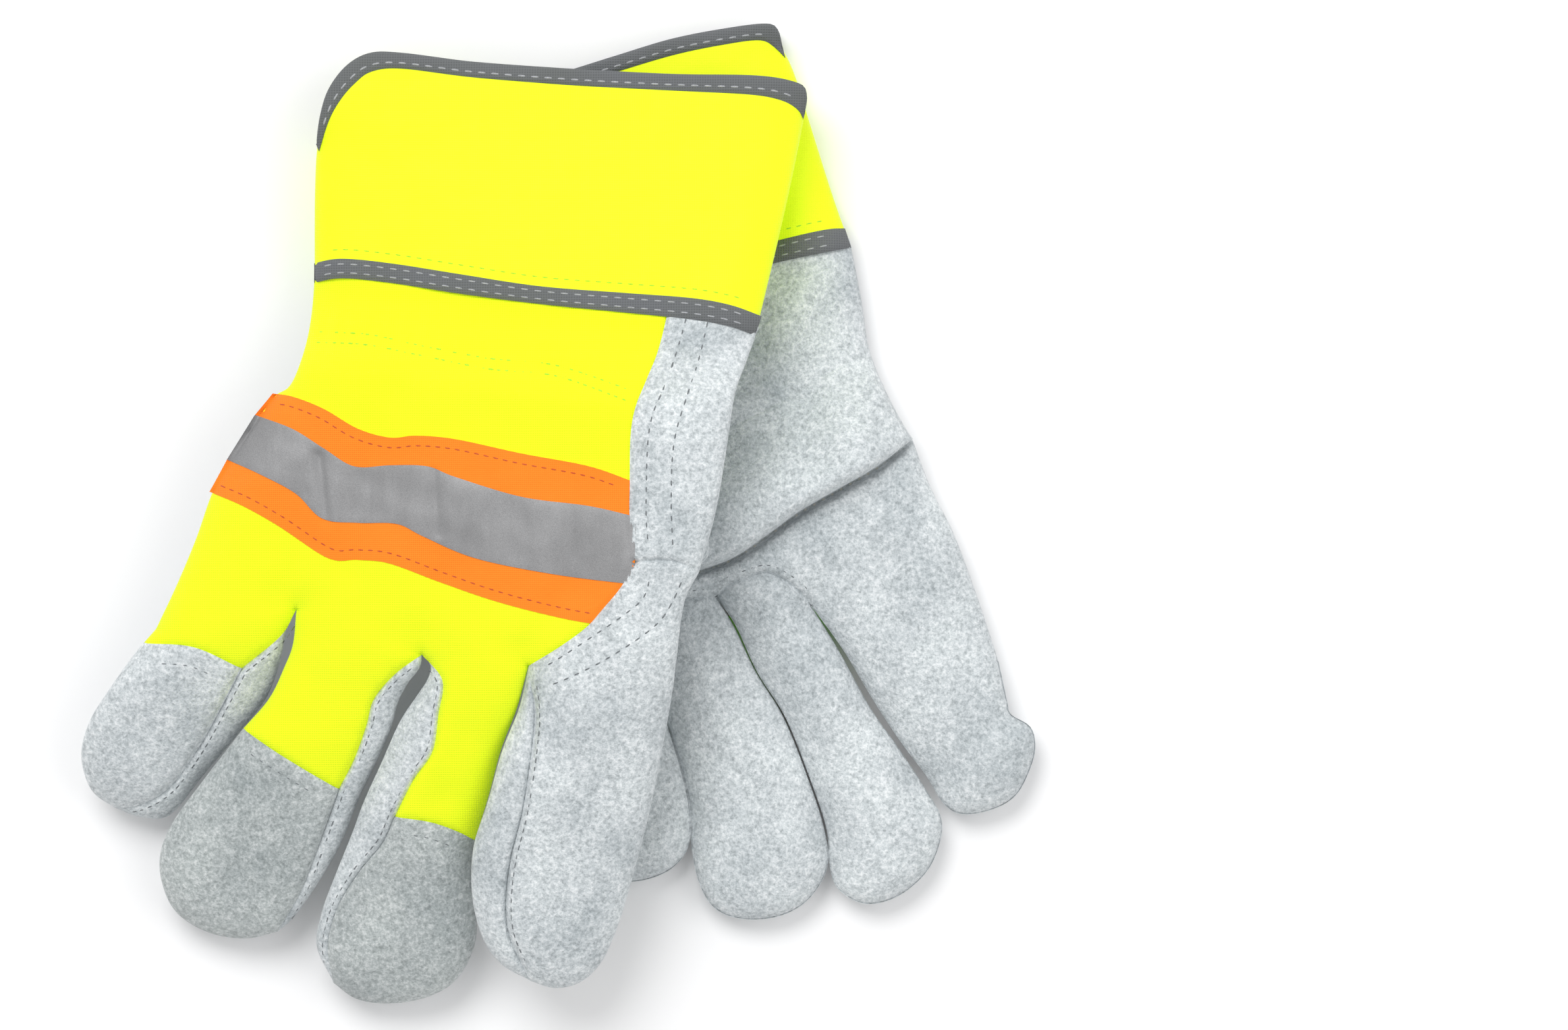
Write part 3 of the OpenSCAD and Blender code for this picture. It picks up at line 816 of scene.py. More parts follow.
elastic_lines = [R([(-51, 80), (-34, 79), (-17.5, 75.5), (1, 72), (19.5, 70), (43, 62)]),
                 R([(-51.5, 77), (-34, 76), (-17.5, 72.7), (1, 69), (19.5, 67), (42, 59)])]

RIGHT.set_split("little", RIGHT.at(little_start), RIGHT.at(crotch_lr), little_left[-1])
RIGHT.set_split("ring", RIGHT.at(crotch_lr), RIGHT.at(crotch_rm), ring_tip[-8])
RIGHT.set_split("middle", RIGHT.at(crotch_rm), RIGHT.at(crotch_mi), middle_tip[12])
RIGHT.set_split("index", RIGHT.at(crotch_mi), RIGHT.at(index_out_end), index_right[6])

waist_y = RIGHT.anchor[1] + 74


def right_shape(p, side):
    """The shirred wrist is thinner, and gathers across it."""
    row = (p[:, 1] - waist_y + 0.16 * (p[:, 0] - RIGHT.anchor[0])) / 7.0
    near = np.exp(-row ** 2)
    gather = 0.05 * np.sin(p[:, 0] * 1.5 + 2 * np.sin(p[:, 0] * 0.23)) * np.exp(-(row * 1.3) ** 2)
    tuck = TUCK * ease((RIGHT.past_wrist(p) + 10) / 9)
    return 1 - 0.16 * near + gather * (side > 0) - tuck


def crease(glove, start, end):
    """A short straight fold line."""
    return resample(glove.at([start, end]), step=1.0)


# Each groove or crease: its line, its depth and its width
right_grooves = [
    (crease(RIGHT, (-47, 45), (-45, 27)), 0.9, 1.3), (crease(RIGHT, (-14.5, 41), (-13.5, 23)), 0.5, 1.0),
    (crease(RIGHT, (-26, 64), (-40, 14)), 1.5, 5.5), (crease(RIGHT, (-62, 60), (-72, 40)), 0.5, 4.0),
    (crease(RIGHT, (38, 60), (26, 10)), 0.7, 6.0), (crease(RIGHT, (-50, 20), (-60, 4)), 0.8, 4.5),
    (crease(RIGHT, (-8, 20), (-16, -4)), 0.9, 5.0), (crease(RIGHT, (22, 6), (12, -8)), 0.8, 4.0),
    (crease(RIGHT, (-44, 4), (-50, -30)), 0.7, 5.0), (crease(RIGHT, (-4, -16), (-12, -50)), 0.7, 5.0),
    (neck, 0.7, SEAM_W), (strip_edge, 0.6, SEAM_W), (strip_end, 1.2, SEAM_W), (little_cap, 0.6, SEAM_W),
    (ring_cap, 0.7, SEAM_W), (middle_cap, 0.7, SEAM_W), (index_seam, SEAM + 0.3, SEAM_W),
    (chain(little_seam_up, little_seam_low), SEAM, SEAM_W),
    (chain(ring_seam_up, ring_seam_low), SEAM, SEAM_W),
    (chain(middle_seam_up, middle_seam_low), SEAM, SEAM_W),
    (elastic_lines[0], 0.5, 0.9), (elastic_lines[1], 0.5, 0.9)]
right_body = Body(
    [left_side, little_left, little_right, ring_left, ring_tip, ring_right, middle_left, middle_tip,
     middle_right, index_left, index_right, right_lower, right_upper],
    RIGHT.middle, HAND_HALF, GLOVE_ROUND, right_grooves, right_shape)

sewn("right_back_fabric", BACK_CLOTH, "back_fabric", RIGHT.ride_hand,
     panel(right_body, chain(wrist_line, strip_edge, neck, middle_split[::-1], ring_split[::-1],
       little_split[::-1], left_side[::-1]), 1, FABRIC))
sewn("right_side_strip", SUEDE, "suede", RIGHT.ride_hand,
     panel(right_body, chain(strip_edge, strip_end, right_upper[::-1], wrist_strip[::-1]), 1, LEATHER,
       lift=OVERLAP))
wall = offset(left_side, WALL)
wrist_a, wrist_b = split_at(wrist_line, wall[0])
root_a, root_b = split_at(little_split, wall[-1])
wall = resample(np.vstack([wrist_b[0], wall[4:-4], root_b[0]]))
sewn("right_palm_leather", SUEDE, "suede", RIGHT.ride_hand,
     panel(right_body, chain(wrist_b, wrist_strip, right_upper, right_lower, straight(index_out_end,
       crotch_mi), middle_split[::-1], ring_split[::-1], root_b[::-1], wall[::-1]), -1, LEATHER))
sewn("right_outer_wall", SUEDE, "suede", RIGHT.ride_hand,
     panel(right_body, chain(wrist_a, wall, root_a[::-1], left_side[::-1]), -1, LEATHER))
lining_ring = R([(-38, 91), (-40, 72), (-50, 58), (-68, 22), (-79, 2), (-54, 8), (-20, -4), (12, -7),
                 (44, 3), (48, 20), (52, 48), (57, 74)], closed=True)
sewn("right_palm_lining", LINING, "lining", RIGHT.ride_hand,
     panel(right_body, lining_ring, -1, LINING_THICK, lift=-LEATHER - LINING_SINK))

right_finger_rings = {
    "little": chain(little_split[::-1], little_left, little_right),
    "ring": chain(ring_split[::-1], ring_left, ring_tip, ring_right),
    "middle": chain(middle_split[::-1], middle_left, middle_tip, middle_right),
    "index": chain(straight(index_out_end, crotch_mi), index_left, index_right)}
for f, ring in right_finger_rings.items():
    sewn(f"right_{f}_front", SUEDE, "suede", RIGHT.ride_finger(),
         panel(right_body, ring, -1, LEATHER, finger=f))

little_cap_left, little_cap_right = split_at(little_left, little_cap[0])
little_cap = resample(np.vstack([little_cap_left[-1], little_cap[1:]]))
back_rings = {
    ("little", "back"): chain(little_split[::-1], little_cap_left, little_cap, little_seam_up[::-1]),
    ("little", "tip"): chain(little_cap_right, little_seam_low[::-1], little_cap[::-1]),
    ("little", "sidewalls"): chain(little_seam_up, little_seam_low, little_right),
    ("ring", "back"): chain(ring_split[::-1], ring_left, ring_cap, ring_seam_up[::-1]),
    ("ring", "tip"): chain(ring_tip, ring_seam_low[::-1], ring_cap[::-1]),
    ("ring", "sidewalls"): chain(ring_seam_up, ring_seam_low, ring_right),
    ("middle", "back"): chain(middle_split, middle_right[::-1], middle_cap[::-1], middle_seam_up[::-1]),
    ("middle", "tip"): chain(middle_seam_low, middle_tip, middle_cap[::-1]),
    ("middle", "sidewalls"): chain(middle_left, middle_seam_low[::-1], middle_seam_up[::-1]),
    ("index", "back"): chain(neck, index_seam, index_right, right_lower[::-1], strip_end[::-1]),
    ("index", "sidewalls"): chain(index_left, index_seam[::-1])}
for (f, part), ring in back_rings.items():
    cloth = part == "back" and f != "index"
    look = BACK_CLOTH if cloth else SUEDE_TIP if part == "tip" and f != "little" else SUEDE
    slot = "back_fabric" if cloth else "suede_tip" if part == "tip" else "suede"
    above = OVERLAP if part == "tip" or (f, part) == ("index", "back") else 0.0
    sewn(f"right_{f}_{part}", look, slot, RIGHT.ride_finger(),
         panel(right_body, ring, 1, FABRIC if cloth else LEATHER, above, f))


def elastics(body, side, lines):
    """Elastic bands under the fabric, which gather the wrist."""
    return merge([strip(body, side, line, offset(line, -ELASTIC_W), 0.1, ELASTIC_THICK,
                        lift=-FABRIC - ELASTIC_SINK) for line in lines])


def tape(glove, body, side, lines):
    """The orange tape and the silver tape sewn along its middle."""
    name = glove.side
    sewn(f"{name}_tape_orange", ORANGE_CLOTH, "orange_tape", glove.ride_hand, merge(
        [strip(body, side, a, b, **ORANGE_TAPE) for a, b in zip(lines, lines[1:])]))
    sewn(f"{name}_tape_silver", SILVER, "silver_tape", glove.ride_hand,
         strip(body, side, lines[1], lines[2], **SILVER_TAPE))
    rows = offset(lines[0], -TAPE_ROW)[2:-2], offset(lines[3], TAPE_ROW)[2:-2]
    sewn(f"{name}_tape_thread", RED_THREAD, "thread", glove.ride_hand,
         merge([stitches(body, side, line, 0.22, length=2.0, gap=0.8, width=0.45) for line in rows]))


tape(RIGHT, right_body, 1, tape_lines)
sewn("right_wrist_elastic", ELASTIC, "elastic", RIGHT.ride_hand, elastics(right_body, 1, elastic_lines))

sewn("right_shirring_thread", GREEN_THREAD, "thread", RIGHT.ride_hand,
     merge([stitches(right_body, 1, line[2:-2], 0.1, **SHIRRED) for line in
       elastic_lines]))
strip_rows = [R([(55.5, 84), (52.5, 73), (49.5, 64), (46.3, 56), (45, 48), (44.6, 36), (44.6, 27),
                 (45.3, 18.5)]),
              R([(61.5, 83), (59, 72), (56, 62), (53, 52), (51.8, 44), (51.5, 34), (51.6, 27), (52, 18.5)])]
sewn("right_strip_thread", DARK_THREAD, "thread", RIGHT.ride_hand,
     merge([stitches(right_body, 1, line, OVERLAP, **LONG) for line in strip_rows]))
index_rows = [R([(46, 13.5), (44, 6), (38.5, 1), (30.5, -4.5), (19.8, -11.5), (13.8, -14.8)]),
              R([(55.5, 13), (51.5, 4), (46.5, -2.5), (34, -11), (22, -17), (15, -19.5)])]
sewn("right_index_thread", DARK_THREAD, "thread", RIGHT.ride_finger(),
     merge([stitches(right_body, 1, line[2:-2], OVERLAP, "index", **LONG) for line in
       index_rows] + [stitches(right_body, 1, offset(index_seam, 1.5)[4:-4], OVERLAP, "index", **FINE)]))
wall_rows = {"little": (chain(little_seam_up, little_seam_low), 1.6, 5.5, little_cap),
             "ring": (chain(ring_seam_up, ring_seam_low), 1.6, 4.5, ring_cap),
             "middle": (chain(middle_seam_up, middle_seam_low), -1.6, 4.5, middle_cap)}
for f, (seam, by, down, cap) in wall_rows.items():
    sewn(f"right_{f}_thread", DARK_THREAD, "thread", RIGHT.ride_finger(),
         merge([stitches(right_body, 1, offset(cap, -down)[4:-4], OVERLAP, f, length=2.0, gap=1.0, width=0.4,
           proud=0.2), stitches(right_body, 1, offset(seam, by)[3:-3], finger=f, **FINE)]))

# ---------------------------------------------------------------- cuffs

# The two bindings, and where the shell ends inside them, as shares of their widths
MOUTH_BINDING = dict(crown=0.75, thickness=1.9, sink=1.9, steps=9)
BASE_BINDING = dict(crown=0.7, thickness=1.5, sink=1.5, steps=9)
SHELL_END = 0.35
SHELL_HEM = 0.6
LINING_STEP = 2.4
# Rows of stitches: where they run in the bindings, as shares, how high they lie, and the row above the hem
MOUTH_ROW = 0.66
BASE_ROWS = (0.28, 0.72)
MOUTH_ROW_LIFT = 0.88
BASE_ROW_LIFT = 0.8
HEM_ROW = 2.6
BOLD = dict(length=2.4, gap=1.3)


def cuff_shape(p, side):
    """Soft folds that run from the mouth towards the hand."""
    fold = np.sin(p[:, 0] * 0.085 + 0.035 * p[:, 1] + 1.3 * side)
    return 0.965 + 0.035 * fold


def between(a, b, share):
    """A line at a share of the way from one line to another."""
    count = max(len(a), len(b))
    return resample(a, count=count) * (1 - share) + resample(b, count=count) * share


def make_cuff(glove, left, right, mouth_outer, mouth_inner, base_top, base_bottom):
    """The flat cuff: shell, lining and two bindings, each on both faces, with their threads.

    Left and right run from the mouth to the hand, the other lines from left to right."""
    name = glove.side
    body = Body([left, right], glove.middle, CUFF_HALF, CUFF_ROUND, shape=cuff_shape)
    mouth = between(mouth_outer, mouth_inner, SHELL_END)
    hem = between(base_top, base_bottom, SHELL_HEM)
    ring = chain(mouth, right[3:-3], hem[::-1], left[::-1][3:-3])
    inset = chain(mouth_inner, right[1:], base_top[::-1], left[::-1][1:-1])
    middle = ring.mean(0)
    low = resample(middle + (inset - middle) * LINING_SHARE, LINING_STEP)
    sewn(f"{name}_cuff_shell", CUFF_CLOTH, "cuff_cloth", glove.ride_with("cuff"),
         merge([panel(body, ring, face, CLOTH) for face in BOTH]))
    sewn(f"{name}_cuff_lining", LINING, "lining", glove.ride_with("cuff"),
         merge([panel(body, low, face, LINING_THICK, lift=-CLOTH - CUFF_LINING_SINK) for face in BOTH]))
    sewn(f"{name}_cuff_top_binding", BINDING, "binding", glove.ride_with("cuff"),
         merge([strip(body, face, mouth_outer, mouth_inner, **MOUTH_BINDING) for face in BOTH]))
    sewn(f"{name}_cuff_base_binding", BINDING, "binding", glove.ride_with("cuff"),
         merge([strip(body, face, base_top, base_bottom, **BASE_BINDING) for face in BOTH]))

    mouth_row = between(mouth_outer, mouth_inner, MOUTH_ROW)[5:-5]
    base_rows = [between(base_top, base_bottom, share)[2:-2] for share in BASE_ROWS]
    rows = []
    for face in BOTH:
        rows.append(stitches(body, face, mouth_row, MOUTH_ROW_LIFT, width=0.6, **BOLD))
        rows += [stitches(body, face, line, BASE_ROW_LIFT, width=0.5, **BOLD) for line in base_rows]
    sewn(f"{name}_binding_thread", LIGHT_THREAD, "thread", glove.ride_with("cuff"), merge(rows))
    above = offset(base_top, HEM_ROW)[4:-4]
    sewn(f"{name}_cuff_thread", GREEN_THREAD, "thread", glove.ride_with("cuff"),
         merge([stitches(body, face, above, length=2.0, gap=0.9, width=0.4) for face in BOTH]))


right_cuff_left = R([(-49.5, 133), (-50, 117.5), (-50, 94)])
right_cuff_right = R([(88.5, 142), (85.5, 126.5), (81.5, 108), (74.5, 78.5)])
right_mouth = R([(-49.5, 133), (-48, 141), (-45.5, 148.5), (-40.5, 155), (-34, 158.5), (-25, 158.5),
                 (-4.5, 156), (23, 154), (51, 152.5), (75, 152), (86.5, 150), (89, 147), (88.5, 142)])
right_mouth_inner = R([(-48.6, 131), (-45.5, 139.5), (-42, 145.5), (-38, 150), (-33.5, 153.2), (-25, 154),
                       (-4.5, 151.5), (23, 149.3), (51, 147.8), (73, 146.6), (82, 145), (86.5, 142.5),
                       (88, 140)])
right_base_top = R([(-50, 99.5), (-41.5, 100.5), (-27, 99), (-8.5, 96), (14, 92.5), (38, 90.5), (56.5, 89),
                    (67.5, 87), (76.3, 84)])
right_base_bottom = R([(-50, 94), (-41.5, 95), (-27, 93.5), (-8.5, 90.5), (14, 87.5), (38, 85), (56.5, 83),
                       (67.5, 81), (74.5, 78.5)])
make_cuff(RIGHT, right_cuff_left, right_cuff_right, right_mouth, right_mouth_inner, right_base_top,
          right_base_bottom)

# ---------------------------------------------------------------- thumbs

THUMB_HALF = 4.3
THUMB_ROUND = 11.0
THUMB_W = 31.0
# The slit between the left thumb and the palm, and how far from the thumb's root side it is fully open
THUMB_GAP = 2.2
THUMB_GAP_RUN = 20.0


def thumb_plane(glove):
    """The middle plane of a folded thumb."""
    place = joint_place(f"{glove.side}_thumb_swing")
    axis = np.array(JOINTS[f"{glove.side}_thumb_swing"]["axis"])
    slope = -axis[0] / axis[2]
    return lambda p, finger=None: place[2] + slope * (p[:, 0] - place[0])


def make_thumb(glove, outline, seam, top_part, under_part):
    """A thumb of two halves, sewn all round."""
    name = glove.side
    body = Body([outline], thumb_plane(glove), THUMB_HALF, THUMB_ROUND)
    ring = outline[:-1]
    for part, face in ((top_part, 1), (under_part, -1)):
        sewn(f"{name}_thumb_{part}", SUEDE, "suede", glove.ride_with("thumb"),
             panel(body, ring, face, LEATHER))
    sewn(f"{name}_thumb_thread", DARK_THREAD, "thread", glove.ride_with("thumb"),
         merge([stitches(body, face, seam, length=1.9, gap=1.0, width=0.4, proud=0.2) for face in BOTH]))


def closed(points):
    line = smooth(points, closed=True)
    return np.vstack([line, line[:1]])


def thumb_outline(glove, reach, heading):
    """A straight thumb with a round tip, from its joint along its heading."""
    root = joint_place(f"{glove.side}_thumb_swing")[:2]
    way = np.array([math.sin(heading), -math.cos(heading)])
    over = np.array([math.cos(heading), math.sin(heading)])
    half = THUMB_W / 2
    line = [(2, 0.84), (reach * 0.3, 0.9), (reach - half, 0.98), (reach - half * 0.45, 0.83),
            (reach - half * 0.1, 0.42), (reach, 0)]
    line = [root + way * a + over * b * half for a, b in line] + [
        root + way * a - over * b * half for a, b in line[-2::-1]]
    return closed(line)


right_thumb_outline = thumb_outline(RIGHT, 60.0, math.radians(-66))
k = len(right_thumb_outline)
make_thumb(RIGHT, right_thumb_outline,
           offset(right_thumb_outline, 2.6)[int(k * 0.1):int(k * 0.9)], "back", "front")

# ---------------------------------------------------------------- left glove, palm up

LEFT = Glove("left", 1)
L = LEFT.curve

left_wrist_line = L([(-110.5, 80.7), (-86.5, 86.5), (-59, 93), (-31, 99.5), (-10, 104.5), (4, 107.5),
                     (10.5, 108.7)])
low_side = L([(-110.5, 80.7), (-103, 62.5), (-95, 44), (-85.5, 24), (-77.5, 6.5), (-69.5, -8.5)])
high_side = L([(10.5, 108.7), (14, 90.5), (16, 77.5), (20, 67), (24.5, 58), (28.3, 51.5), (29.5, 48.5),
               (33.5, 38), (40, 25), (45, 12), (49.5, -1), (53, -12)])
left_outs = {
    "little": L([(-69.5, -8.5), (-67, -26), (-66.5, -44.5), (-66, -59.5), (-63.5, -68.5), (-58, -74),
                 (-49.5, -74.5), (-41, -71.5), (-36, -66), (-34.5, -58.5), (-35.5, -50), (-38.5, -39),
                 (-42, -28), (-46, -15), (-48, -2)]),
    "ring": L([(-48, -2), (-43.5, -22.5), (-39.5, -35.5), (-35.5, -51), (-34.5, -65), (-32, -76), (-27, -83),
               (-18, -85.5), (-8, -84), (-0.5, -79), (4.3, -70), (3.2, -59.5), (-1.3, -45.5), (-8.3, -28),
               (-16.2, -15), (-22.2, -2.5), (-27.5, 6.5)]),
    "middle": L([(-27.5, 6.5), (-21.8, -2), (-15.8, -15), (-7.7, -28), (-0.7, -45.5), (3.9, -59.5),
                 (4.8, -70), (7.5, -77), (15, -81), (24, -79), (32, -72.5), (36, -64.5), (36.6, -56.5),
                 (31.6, -47.5), (24, -36), (16.3, -25), (7.5, -9), (-0.5, 4)]),
    "index": L([(-0.5, 4), (8.6, -8.5), (17, -22.5), (25, -34.7), (32.6, -44.8), (37.5, -52.7), (43, -55.5),
                (51.5, -54), (58, -50), (62, -42.5), (63.5, -36), (62, -30.5), (56.5, -27), (55.5, -23.5),
                (53, -12)])}
left_crotches = {"little": ((-69.5, -8.5), (-48, -2)), "ring": ((-48, -2), (-27.5, 6.5)),
                 "middle": ((-27.5, 6.5), (-0.5, 4)), "index": ((-0.5, 4), (53, -12))}
left_splits = {f: resample(LEFT.at(ends)) for f, ends in left_crotches.items()}
for f, out in left_outs.items():
    split = left_splits[f]
    far = out[np.argmax(np.linalg.norm(out - split.mean(0), axis=1))]
    LEFT.set_split(f, split[0], split[-1], far)
palm_seams = dict(left_splits)
palm_seams["ring"] = L([(-48, -2), (-44, 2.2), (-39.5, 4.6), (-33, 6.2), (-27.5, 6.5)])
palm_seams["middle"] = L([(-27.5, 6.5), (-24.5, 9.5), (-19, 11.8), (-12.5, 13.3), (-5, 9), (-0.5, 4)])


def left_shape(p, side):
    """Thinner where the hand is tucked into the cuff."""
    return 1 - TUCK * ease((LEFT.past_wrist(p) + 10) / 9)


# The lower edge of the thumb folded over the palm
thumb_low = L([(28.5, 51.5), (18, 43.5), (6, 36.5), (-3.5, 31), (-12.5, 24.5), (-22, 18), (-31, 14.5),
               (-40.5, 12), (-49.5, 11)])
left_grooves = [
    (palm_seams["ring"], SEAM, SEAM_W), (palm_seams["middle"], SEAM, SEAM_W),
    (offset(thumb_low, 0.5), 4.6, 0.85),
    (crease(LEFT, (53.5, -27), (60, -28)), 1.0, 0.9), (crease(LEFT, (18.5, 66), (14, 59)), 1.0, 1.2),
    (crease(LEFT, (-2, -4), (6, 14)), 0.8, 4.0), (crease(LEFT, (30, 30), (20, 2)), 0.7, 7.0),
    (crease(LEFT, (42, 6), (44, -30)), 0.7, 6.0), (crease(LEFT, (-6, 98), (-14, 80)), 1.0, 5.0),
    (crease(LEFT, (-24, -6), (-21, -52)), 0.6, 4.0), (crease(LEFT, (2, -12), (16, -50)), 0.6, 4.0)]
left_body = Body([low_side, high_side] + list(left_outs.values()), LEFT.middle, HAND_HALF, GLOVE_ROUND,
                 left_grooves, left_shape)

low_wall = offset(low_side, WALL)
wrist_a, wrist_b = split_at(left_wrist_line, low_wall[0])
root_a, root_b = split_at(left_splits["little"], low_wall[-1])
low_wall = resample(np.vstack([wrist_b[0], low_wall[6:-6], root_b[0]]))
sewn("left_palm_leather", SUEDE, "suede", LEFT.ride_hand,
     panel(left_body, chain(wrist_b, high_side, palm_seams["index"][::-1], palm_seams["middle"][::-1],
       palm_seams["ring"][::-1], root_b[::-1], low_wall[::-1]), 1, LEATHER, fold=offset(thumb_low, 0.5)))
sewn("left_outer_wall", SUEDE, "suede", LEFT.ride_hand,
     panel(left_body, chain(wrist_a, low_wall, root_a[::-1], low_side[::-1]), 1, LEATHER))
lining_ring = L([(-94, 78), (-60, 88), (-20, 97), (4, 100), (8, 80), (20, 50), (34, 24), (42, -2), (2, 12),
                 (-26, 0), (-46, -8), (-60, -8), (-74, 24), (-86, 50)], closed=True)
sewn("left_palm_lining", LINING, "lining", LEFT.ride_hand,
     panel(left_body, lining_ring, 1, LINING_THICK, lift=-LEATHER - LINING_SINK))

strip_line = L([(-16, 103.2), (-9, 84), (-4, 66), (6, 44), (16, 20), (24.5, -3.5)])
wrist_a, wrist_b = split_at(left_wrist_line, strip_line[0])
root_a, root_b = split_at(left_splits["index"], strip_line[-1])
strip_line = resample(np.vstack([wrist_b[0], strip_line[3:-3], root_b[0]]))
sewn("left_back_fabric", BACK_CLOTH, "back_fabric", LEFT.ride_hand,
     panel(left_body, chain(wrist_a, strip_line, root_a[::-1], left_splits["middle"][::-1],
       left_splits["ring"][::-1], left_splits["little"][::-1], low_side[::-1]), -1, FABRIC))
sewn("left_side_strip", SUEDE, "suede", LEFT.ride_hand,
     panel(left_body, chain(wrist_b, high_side, root_b[::-1], strip_line[::-1]), -1, LEATHER))
left_tape = [L([a, b], step=0.9) for a, b in (((-95.5, 45), (-0.5, 58)), ((-92, 37.5), (4, 49)),
                                              ((-86, 25), (10, 34.5)), ((-82.5, 17.5), (13, 27)))]
tape(LEFT, left_body, -1, left_tape)
bands = [L([(-103, 62), (-7, 77)]), L([(-99.5, 54.5), (-5, 69)])]
sewn("left_wrist_elastic", ELASTIC, "elastic", LEFT.ride_hand, elastics(left_body, -1, bands))
sewn("left_back_thread", GREEN_THREAD, "thread", LEFT.ride_hand,
     merge([stitches(left_body, -1, line[3:-3], **SHIRRED) for line in bands]))
sewn("left_strip_thread", DARK_THREAD, "thread", LEFT.ride_hand,
     merge([stitches(left_body, -1, offset(strip_line, by)[3:-3], **LONG) for by in (3.5,
       9.5)]))
sewn("left_palm_thread", DARK_THREAD, "thread", LEFT.ride_hand,
     merge([stitches(left_body, 1, offset(palm_seams[f], 2.2)[2:-2], length=1.6, gap=1.0, width=0.35,
       proud=0.15) for f in ("ring", "middle")]))

for f, out in left_outs.items():
    ring = chain(palm_seams[f][::-1], out)
    sewn(f"left_{f}_front", SUEDE, "suede", LEFT.ride_finger(), panel(left_body, ring, 1, LEATHER, finger=f))
    split = left_splits[f]
    along = (split[-1] - split[0]) / np.linalg.norm(split[-1] - split[0])
    inner = resample(np.vstack([split[0] + along * FINGER_WALL, offset(out, FINGER_WALL)[5:-5],
                               split[-1] - along * FINGER_WALL]))
    sewn(f"left_{f}_sidewalls", SUEDE, "suede", LEFT.ride_finger(),
         strip(left_body, -1, out, inner, 0.0, LEATHER, finger=f, steps=6, sink=LEATHER))
    if f == "index":
        sewn(f"left_{f}_back", SUEDE, "suede", LEFT.ride_finger(),
             panel(left_body, inner, -1, LEATHER, finger=f))
        cap = inner[[0, -1]]
    else:
        a = int(len(inner) * (0.1 if f == "little" else 0.14))
        cap = resample(inner[[a, -a]])
        sewn(f"left_{f}_back", BACK_CLOTH, "back_fabric", LEFT.ride_finger(),
             panel(left_body, chain(inner[:a + 1], cap, inner[-a:]), -1, FABRIC, finger=f))
        sewn(f"left_{f}_tip", SUEDE_TIP, "suede_tip", LEFT.ride_finger(),
             panel(left_body, chain(inner[a:-a + 1], cap[::-1]), -1, LEATHER, finger=f))
    sewn(f"left_{f}_thread", DARK_THREAD, "thread", LEFT.ride_finger(),
         merge([stitches(left_body, -1, offset(inner, 1.5)[4:-4], finger=f, length=1.8, gap=1.0, width=0.4,
           proud=0.2)]))

left_mouth = L([(-141, 138.7), (-123.5, 143), (-97.5, 149), (-73.5, 155), (-57, 160), (-40.5, 165),
                (-25.5, 168), (-13.5, 169.5), (-10, 168), (-8.5, 163)])
left_mouth_inner = L([(-139, 134.7), (-122.5, 138.6), (-96.5, 144.6), (-72.5, 150.6), (-56, 155.6),
                      (-39.5, 160.5), (-25, 163.5), (-15, 164.8), (-11, 163), (-7.8, 160)])
left_base_top = L([(-112, 83.8), (-86.5, 89.5), (-59, 96), (-31, 102.5), (-7, 108.5), (4, 111), (9.2, 111.5)])
left_base_bottom = L([(-110, 77.5), (-86.5, 83.5), (-59, 90), (-31, 96.5), (-14.5, 100.5), (-3.5, 103),
                      (11, 106)])
make_cuff(LEFT, L([(-141, 138.7), (-130, 112.5), (-110, 77.5)]),
          L([(-8.5, 163), (-5, 155), (-0.5, 140.5), (6, 120), (11, 106)]), left_mouth, left_mouth_inner,
          left_base_top, left_base_bottom)


class Draped(Body):
    """A folded thumb that lies on a palm, thickest at its lower edge and running out at its upper one."""

    under = left_body

    def __init__(self, outline, half, rounding, shape):
        super().__init__(outline, self.middle_of, half, rounding, shape=shape)

    def middle_of(self, p, finger=None):
        """The middle plane, which panel() measures a sheet's thickness from."""
        return self.base(p) + self.height(p, 1)

    def base(self, p):
        """The palm under the thumb, without its seams, and a slit that opens at the thumb's edge."""
        puff = np.minimum(distance(p, self.under.outline) / self.under.rounding, 1)
        level = self.under.middle(p) + HAND_HALF * np.sqrt(np.maximum(0, 1 - (1 - puff) ** 2))
        return level + THUMB_GAP * ease(distance(p, [thumb_high]) / THUMB_GAP_RUN)

    def surface(self, p, side, lift=0.0, finger=None):
        base = self.base(p)
        if side > 0:
            base = base + 2 * self.height(p, 1)
        return np.column_stack([p, base + side * lift])


thumb_tip = L([(-49.5, 11), (-55.5, 14), (-58, 21), (-56, 30), (-50, 38)])
thumb_high = L([(-50, 38), (-40, 46), (-24, 54.5), (-8, 62.5), (6, 71), (15.8, 77.5)])
thumb_base = L([(15.8, 77.5), (19.6, 67), (24, 58), (28.5, 51.5)])


def left_thumb_shape(p, side):
    """Full along the lower edge and the tip, running out towards the upper edge."""
    out = distance(p, [thumb_high])
    return 0.06 + 0.94 * ease(out / 27.0) * (0.35 + 0.65 * ease(distance(p, [thumb_base]) / 22.0))


thumb_body = Draped([thumb_low, thumb_tip, thumb_high, thumb_base], 3.5, 2.4, left_thumb_shape)
thumb_ring = chain(thumb_low, thumb_tip, thumb_high, thumb_base)
root = joint_place("left_thumb_swing")


def ride_thumb(piece):
    """Bakes the piece's placement into its mesh."""
    way = thumb_tip[len(thumb_tip) // 2] - root[:2]
    way /= np.linalg.norm(way)
    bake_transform(piece)


for part, face in (("front", 1), ("back", -1)):
    sewn(f"left_thumb_{part}", SUEDE, "suede", ride_thumb, panel(thumb_body, thumb_ring, face, LEATHER))


# ---------------------------------------------------------------- floor, light and camera

# Half the floor's side and the floor's height, in metres
FLOOR_REACH = 4
FLOOR_LEVEL = -0.0005
